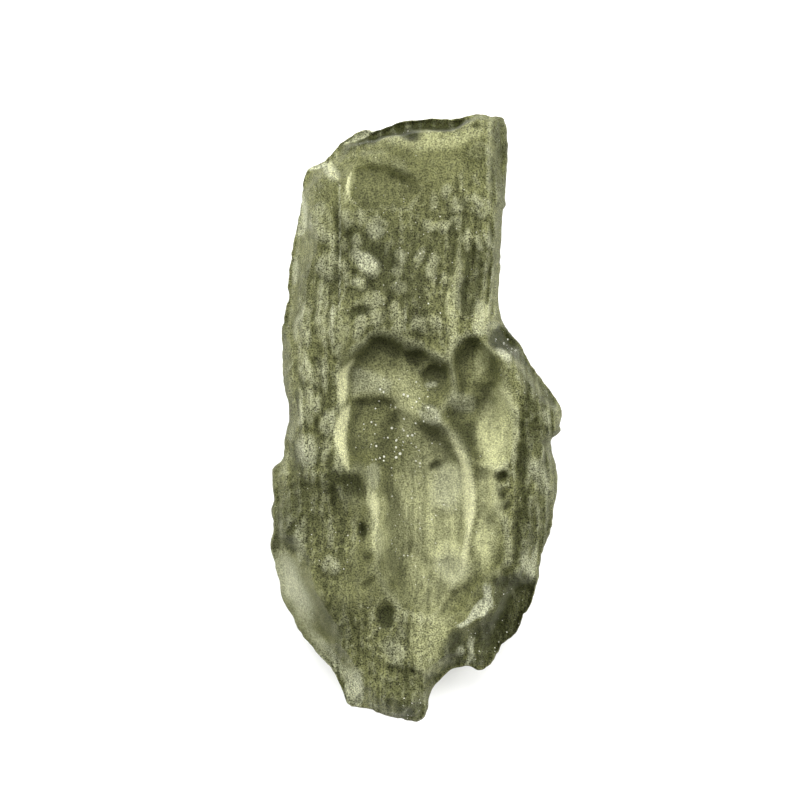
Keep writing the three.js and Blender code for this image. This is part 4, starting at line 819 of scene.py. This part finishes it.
def face_sheet(x, y, edge):
    """Height and tones of the face. Its relief is the raised forms less the hollows, smoothed a
    little, less fine scoops, striae and grain. The relief is added to the crown where that is
    high, and near the outline a rougher border takes its place."""
    bx, by = bent(x, y)
    part = face_parts(bx, by, edge)
    hollow, wall_shades = face_hollow(x, y, part)
    lumps = np.maximum.reduce([lump_height(bx, by, lump) for lump in LUMPS])
    cobbles = (part["upper"] * scoop_field(bx, by, *COBBLES)
               + part["upper_left"] * scoop_field(bx, by, *LONG_COBBLES)
               + part["upper_right"] * scoop_field(bx, by, *NARROW_COBBLES))
    raised = COBBLE_HEIGHT * cobbles + lumps + sum(furrow_depth(x, y, ridge) for ridge in RIDGES)
    bow = x + waves(x, y, STRIAE_BEND)
    striae = ease(*STRIAE_BAND, grain(bow, y, *STRIAE))
    striae = striae + WIDE_STRIAE_SHARE * grain(bow, y, *WIDE_STRIAE)
    relief = smoothed(raised - hollow, SKIN_PASSES)
    relief = relief - FINE_SCOOP_DEPTH * part["busy"] * scoop_field(bx, by, *FINE_SCOOPS)
    relief = relief - STRIAE_DEPTH * part["drawn"] * striae - GRAIN_DEPTH * grain(x, y, *SKIN_GRAIN)
    relief = relief - FINE_GRAIN_DEPTH * part["busy"] * grain(x, y, *FINE_GRAIN)
    crown = crown_height(bx, by, edge)
    reach = ease(0, RELIEF_FADE, edge) * np.clip(crown / FULL_RELIEF_RISE, 0, 1)
    border = ease(0, BORDER_FADE, edge) * (1 - reach) * (1 - part["chamfer"])
    rough = (BORDER_SCOOP_DEPTH * scoop_field(bx, by, *BORDER_SCOOPS)
             + BORDER_GRAIN_DEPTH * (striae + grain(x, y, *BORDER_GRAIN)))
    thinnest = THINNEST_RISE * shoulder(edge, FACE_SHOULDER)
    height = rim_height(x, y) + np.maximum(crown + reach * relief, thinnest) - border * rough
    fine = reach * (relief - smoothed(relief, GROOVE_PASSES))
    fine = fine - BORDER_TONE * border * (rough - smoothed(rough, GROOVE_PASSES))
    return height, face_tones(x, y, edge, part, wall_shades, lumps, relief, fine)


def face_tones(x, y, edge, part, wall_shades, lumps, relief, fine):
    """The painted tones at each place: painted shade with some darker glass, painted glow of light through
    thin glass, painted light on lips, and painted sheen and highlight over the frosted skin; then how
    strongly its skin is speckled and how thick painted white glints lie. Grooves get painted shade and
    crests a painted highlight, light is painted glowing through where the glass is hollowed deeper than its
    surroundings, and the named places and patches are laid over that."""
    bx, by = bent(x, y)
    bow = x + waves(x, y, STRIAE_BEND)
    # Painted glow of light coming through the glass where it is hollowed thinner than round it, and in the
    # glow places
    glow = [np.clip(THIN_GLOW * (smoothed(relief, HOLLOW_PASSES) - relief), 0, MOST_THIN_GLOW)]
    glow.extend(placed(bx, by, GLOW_PLACES))
    # Painted shade on the upper walls of hollows, in grooves, between the upper lumps and along the outline;
    # the random darker streaks and clouds are the glass's own, and the places of painted shade are laid over
    # them
    dark = wall_shades + [
        np.clip(-GROOVE_SHADE * fine, 0, MOST_GROOVE_SHADE),
        STREAK_DARKNESS * part["drawn"] * ease(*STREAK_BAND, grain(bow, y, *DARK_STREAKS)),
        GAP_SHADE * part["upper"] * (1 - np.clip(lumps / GAP_LUMP_HEIGHT, 0, 1)),
        EDGE_SHADE * np.exp(-(edge / EDGE_WIDTH) ** 2),
        CLOUD_DARKNESS * ease(*CLOUD_BAND, grain(bx, by, *DARK_CLOUDS)) * (1 - part["chamfer"])]
    dark = [(1 - GLOW_OVER_DARK * mixed(glow)) * tone for tone in dark] + placed(bx, by, SHADE_AND_DARK_PLACES)
    tones = {"dark": dark, "sheen_and_frost": placed(bx, by, SHEEN_AND_FROST_PLACES), "lip": []}
    for kind, strength, softness, line in PATCHES:
        tones[kind].append(strength * ease(0, softness, lip_distance(x, y, line)[0]))
    dark, sheen_and_frost, lip = mixed(tones["dark"]), tones["sheen_and_frost"], mixed(tones["lip"])
    most_crest = MOST_CREST_HIGHLIGHT - UPPER_CREST_LOSS * part["upper"]
    most_lump = LUMP_HIGHLIGHT + LEFT_LUMP_HIGHLIGHT * np.maximum(part["left"], part["upper_left"])
    spread = HIGHLIGHT_SPREAD[0] + HIGHLIGHT_SPREAD[1] * grain(x, y, *HIGHLIGHT_GRAIN)
    # Painted highlights on crests and on lumps, spread unevenly by grain
    crests = [np.clip(CREST_HIGHLIGHT * part["busy"] * fine, 0, most_crest),
              np.clip(part["busy"] * lumps, 0, most_lump) * spread]
    sheen_and_frost = mixed(sheen_and_frost + [(1 - DARK_OVER_CREST * dark) * crest for crest in crests])
    glow = mixed(glow)
    speckle = np.clip(0.6 + 0.4 * part["busy"] - 0.4 * part["chamfer"], 0, 1)
    speckle = speckle * (1 - 0.6 * lip) * (1 - 0.5 * glow)
    return dark, glow, lip, sheen_and_frost, speckle, sum(placed(x, y, GLINT_PLACES))


def back_height(x, y, edge):
    """The underside: rounded up to the outline, hollowed, and exactly flat on the resting spot."""
    bx, by = bent(x, y)
    bow = BACK_BOW_ACROSS * (bx - REST_SPOT[0]) ** 2 + BACK_BOW_ALONG * by ** 2
    hollow = np.maximum.reduce(
        [BACK_SCOOP_DEPTH * scoop_field(bx, by, *BACK_SCOOPS),
         SMALL_BACK_SCOOP_DEPTH * scoop_field(bx, by, *SMALL_BACK_SCOOPS)]
        + [bowl_depth(bx, by, bowl) for bowl in BACK_BOWLS])
    fine = FINE_BACK_DEPTH * (scoop_field(bx, by, *FINE_BACK_SCOOPS) + grain(x, y, *BACK_GRAIN))
    away = ease(1, SPOT_BORDER, np.hypot(*in_ellipse(bx, by, REST_SPOT)))
    border = rim_height(x, y) * (1 - shoulder(edge, BACK_SHOULDER + waves(bx, by, BACK_SHOULDER_WAVE)))
    return border + away * ease(0, BACK_FADE, edge) * (bow + hollow + fine)


def stone_tints(tones, under_count):
    """Colour of each point of the mesh: the glass, with each tone's colour laid over it in turn by
    the tone's strength: painted glow, painted shade with darker glass, painted sheen over the frosted skin
    and painted light on lips. The speckle's strength is its alpha. The underside is plain."""
    dark, glow, lip, sheen_and_frost, speckle, _ = tones
    tint = np.array(GLASS_TINT) + np.zeros(dark.shape + (1,))
    for strength, colour in ((glow, GLOW_TINT), (dark, SHADE_AND_DARK_TINT), (sheen_and_frost, SHEEN_AND_FROST_TINT), (lip, LIT_LIP_TINT)):
        tint = tint + strength[..., None] * (np.array(colour) - tint)
    tint = np.vstack([tint.reshape(-1, 3), np.array(GLASS_TINT) + np.zeros((under_count, 1))])
    return np.hstack([tint, np.append(speckle.ravel(), np.ones(under_count))[:, None]])


def quads(number, turn):
    """The four corners of each square of a grid of point numbers, read forwards or backwards."""
    a, b = number[:-1, :-1], number[:-1, 1:]
    c, d = number[1:, 1:], number[1:, :-1]
    return np.stack([a, b, c, d][::turn], -1).reshape(-1, 4)


def stone_mesh():
    """One closed mesh: the face grid, then the underside grid, whose border is the face's border.
    It is moved to the middle of the CAD node's box and stretched upward to its height."""
    x, y = plan_grid()
    edge = outline_distance(x, y)
    on_rim = np.zeros(x.shape, bool)
    on_rim[[0, -1]] = True
    on_rim[:, [0, -1]] = True
    height, tones = face_sheet(x, y, edge)
    face = np.where(on_rim, rim_height(x, y), height)
    back = back_height(x, y, edge)
    face_number = np.arange(x.size).reshape(x.shape)
    back_number = face_number.copy()
    back_number[~on_rim] = x.size + np.arange((~on_rim).sum())
    notch = np.exp(-(edge / NOTCH_REACH) ** 2) * grain(x, y, *WIDE_NOTCHES) * grain(x, y, *NARROW_NOTCHES)
    x, y = x * (1 - NOTCH_ACROSS * notch), y * (1 - NOTCH_ALONG * notch)
    top = np.stack([x, y, face], -1).reshape(-1, 3)
    under = np.stack([x, y, back], -1)[~on_rim]
    points = np.vstack([top, under])
    low, high = np.array(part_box("moldavite")) / MM
    middle = (points.min(0) + points.max(0)) / 2
    points[:, :2] += (low + high)[:2] / 2 - middle[:2]
    points[:, 2] -= points[:, 2].min()
    points[:, 2] *= high[2] / points[:, 2].max()

    corners = np.vstack([quads(face_number, 1), quads(back_number, -1)])
    mesh = bpy.data.meshes.new("moldavite_glass")
    mesh.vertices.add(len(points))
    mesh.vertices.foreach_set("co", (points * MM).ravel())
    mesh.loops.add(corners.size)
    mesh.loops.foreach_set("vertex_index", corners.ravel().astype(np.int32))
    mesh.polygons.add(len(corners))
    mesh.polygons.foreach_set("loop_start", np.arange(0, corners.size, 4, dtype=np.int32))
    mesh.update(calc_edges=True)
    mesh.shade_smooth()

    tint = stone_tints(tones, len(under))
    mesh.color_attributes.new("tint", "FLOAT_COLOR", "POINT").data.foreach_set("color", tint.ravel())
    # Strength of the painted white glints at each point
    glints = np.append(tones[5].ravel(), np.zeros(len(under)))
    mesh.attributes.new("glints", "FLOAT", "POINT").data.foreach_set("value", glints)
    return mesh


def stone_glass():
    """Satin natural glass: green, paler where it is thin through its absorption, with a fine etched skin
    that is partly drawn out along the stone. The mesh gives its tones, among them painted glow, painted
    shade and painted sheen, and chosen cells hold a painted round white glint."""
    glass = bpy.data.materials.new("moldavite_glass")
    glass.use_nodes = True
    nodes, links = glass.node_tree.nodes, glass.node_tree.links
    shader = nodes["Principled BSDF"]
    shader.inputs["Roughness"].default_value = 0.65
    shader.inputs["IOR"].default_value = 1.49
    shader.inputs["Specular IOR Level"].default_value = 0.06
    shader.inputs["Specular Tint"].default_value = (0.8, 0.8, 0.5, 1)
    shader.inputs["Transmission Weight"].default_value = 0.5

    def node(kind, values, **settings):
        """A new node of a kind, with its settings and a fixed value on each named input."""
        made = nodes.new("ShaderNode" + kind)
        for name, value in settings.items():
            setattr(made, name, value)
        for name, value in values.items():
            made.inputs[name].default_value = value
        return made

    absorption = node("VolumeAbsorption", {"Color": (0.62, 0.66, 0.3, 1), "Density": 500})
    links.new(absorption.outputs["Volume"], nodes["Material Output"].inputs["Volume"])

    place = node("TexCoord", {})
    etching = node("TexNoise", {"Scale": 11000, "Detail": 1})
    links.new(place.outputs["Object"], etching.inputs["Vector"])
    drawn_out = node("VectorMath", {1: (1, 0.12, 1)}, operation="MULTIPLY")
    links.new(place.outputs["Object"], drawn_out.inputs[0])
    fibres = node("TexNoise", {"Scale": 6000, "Detail": 3})
    links.new(drawn_out.outputs["Vector"], fibres.inputs["Vector"])
    skin = node("Mix", {"Factor": 0.25})
    links.new(etching.outputs["Fac"], skin.inputs["A"])
    links.new(fibres.outputs["Fac"], skin.inputs["B"])
    bump = node("Bump", {"Strength": 1.0, "Distance": 0.0001})
    links.new(skin.outputs["Result"], bump.inputs["Height"])
    links.new(bump.outputs["Normal"], shader.inputs["Normal"])

    tint = node("Attribute", {}, attribute_name="tint")
    speck = node("MapRange", {"From Min": 0.36, "From Max": 0.66, "To Min": 0.15, "To Max": 2.55})
    links.new(skin.outputs["Result"], speck.inputs["Value"])
    strength = node("Mix", {"A": 1.0})
    links.new(tint.outputs["Alpha"], strength.inputs["Factor"])
    links.new(speck.outputs["Result"], strength.inputs["B"])
    speckled = node("VectorMath", {}, operation="SCALE")
    links.new(tint.outputs["Color"], speckled.inputs[0])
    links.new(strength.outputs["Result"], speckled.inputs["Scale"])

    # Painted white glints: chosen cells of a fine lattice turn pale, more of them where the glint strength
    # is high
    chips = node("TexVoronoi", {"Scale": 4200})
    links.new(place.outputs["Object"], chips.inputs["Vector"])
    chosen = node("SeparateColor", {})
    links.new(chips.outputs["Color"], chosen.inputs["Color"])
    glints = node("Attribute", {}, attribute_name="glints")
    least = node("Math", {1: 0.2, 2: -0.37}, operation="MULTIPLY_ADD")
    links.new(glints.outputs["Fac"], least.inputs[0])
    size = node("Math", {1: 0.5}, operation="MULTIPLY_ADD")
    links.new(chosen.outputs["Red"], size.inputs[0])
    links.new(least.outputs["Value"], size.inputs[2])
    spark = node("Math", {}, operation="LESS_THAN")
    links.new(chips.outputs["Distance"], spark.inputs[0])
    links.new(size.outputs["Value"], spark.inputs[1])
    sparkled = node("Mix", {"B": (0.9, 0.9, 0.75, 1)}, data_type="RGBA")
    links.new(spark.outputs["Value"], sparkled.inputs["Factor"])
    links.new(speckled.outputs["Vector"], sparkled.inputs["A"])
    links.new(sparkled.outputs["Result"], shader.inputs["Base Color"])
    return glass


stone = bpy.data.objects.new("moldavite_glass", stone_mesh())
stone.data.materials.append(stone_glass())
bpy.context.scene.collection.objects.link(stone)
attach(stone, "root")
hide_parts("moldavite")

# Table
# A plain pale matt surface that the stone lies on.
TABLE_SIZE = 1.2
half = TABLE_SIZE / 2
table_mesh = bpy.data.meshes.new("table")
table_corners = [(-half, -half, 0), (half, -half, 0), (half, half, 0), (-half, half, 0)]
table_mesh.from_pydata(table_corners, [], [(0, 1, 2, 3)])
table = bpy.data.objects.new("table", table_mesh)
paper = bpy.data.materials.new("pale_paper")
paper.use_nodes = True
paper.node_tree.nodes["Principled BSDF"].inputs["Base Color"].default_value = (0.96, 0.96, 0.96, 1)
paper.node_tree.nodes["Principled BSDF"].inputs["Roughness"].default_value = 0.9
table_mesh.materials.append(paper)
bpy.context.scene.collection.objects.link(table)

# Light
# Three large soft boxes, one beyond the broken end and one at either side, in a white room.
SOFT_BOXES = [
    ("top_light", (0.0, 0.18, 0.18), 0.26, 1.1),
    ("left_light", (-0.18, 0.02, 0.12), 0.18, 0.55),
    ("right_light", (0.18, 0.02, 0.12), 0.18, 0.6)]
for name, place, size, power in SOFT_BOXES:
    soft_box = bpy.data.lights.new(name, "AREA")
    soft_box.size = size
    soft_box.energy = power
    light = bpy.data.objects.new(name, soft_box)
    light.location = place
    direction = light.location.normalized()
    light.rotation_euler = direction.to_track_quat("Z", "Y").to_euler()
    bpy.context.scene.collection.objects.link(light)
room = bpy.data.worlds.new("room")
room.use_nodes = True
room.node_tree.nodes["Background"].inputs["Color"].default_value = (1, 1, 1, 1)
room.node_tree.nodes["Background"].inputs["Strength"].default_value = 0.5
bpy.context.scene.world = room
bpy.context.scene.view_settings.view_transform = "Standard"
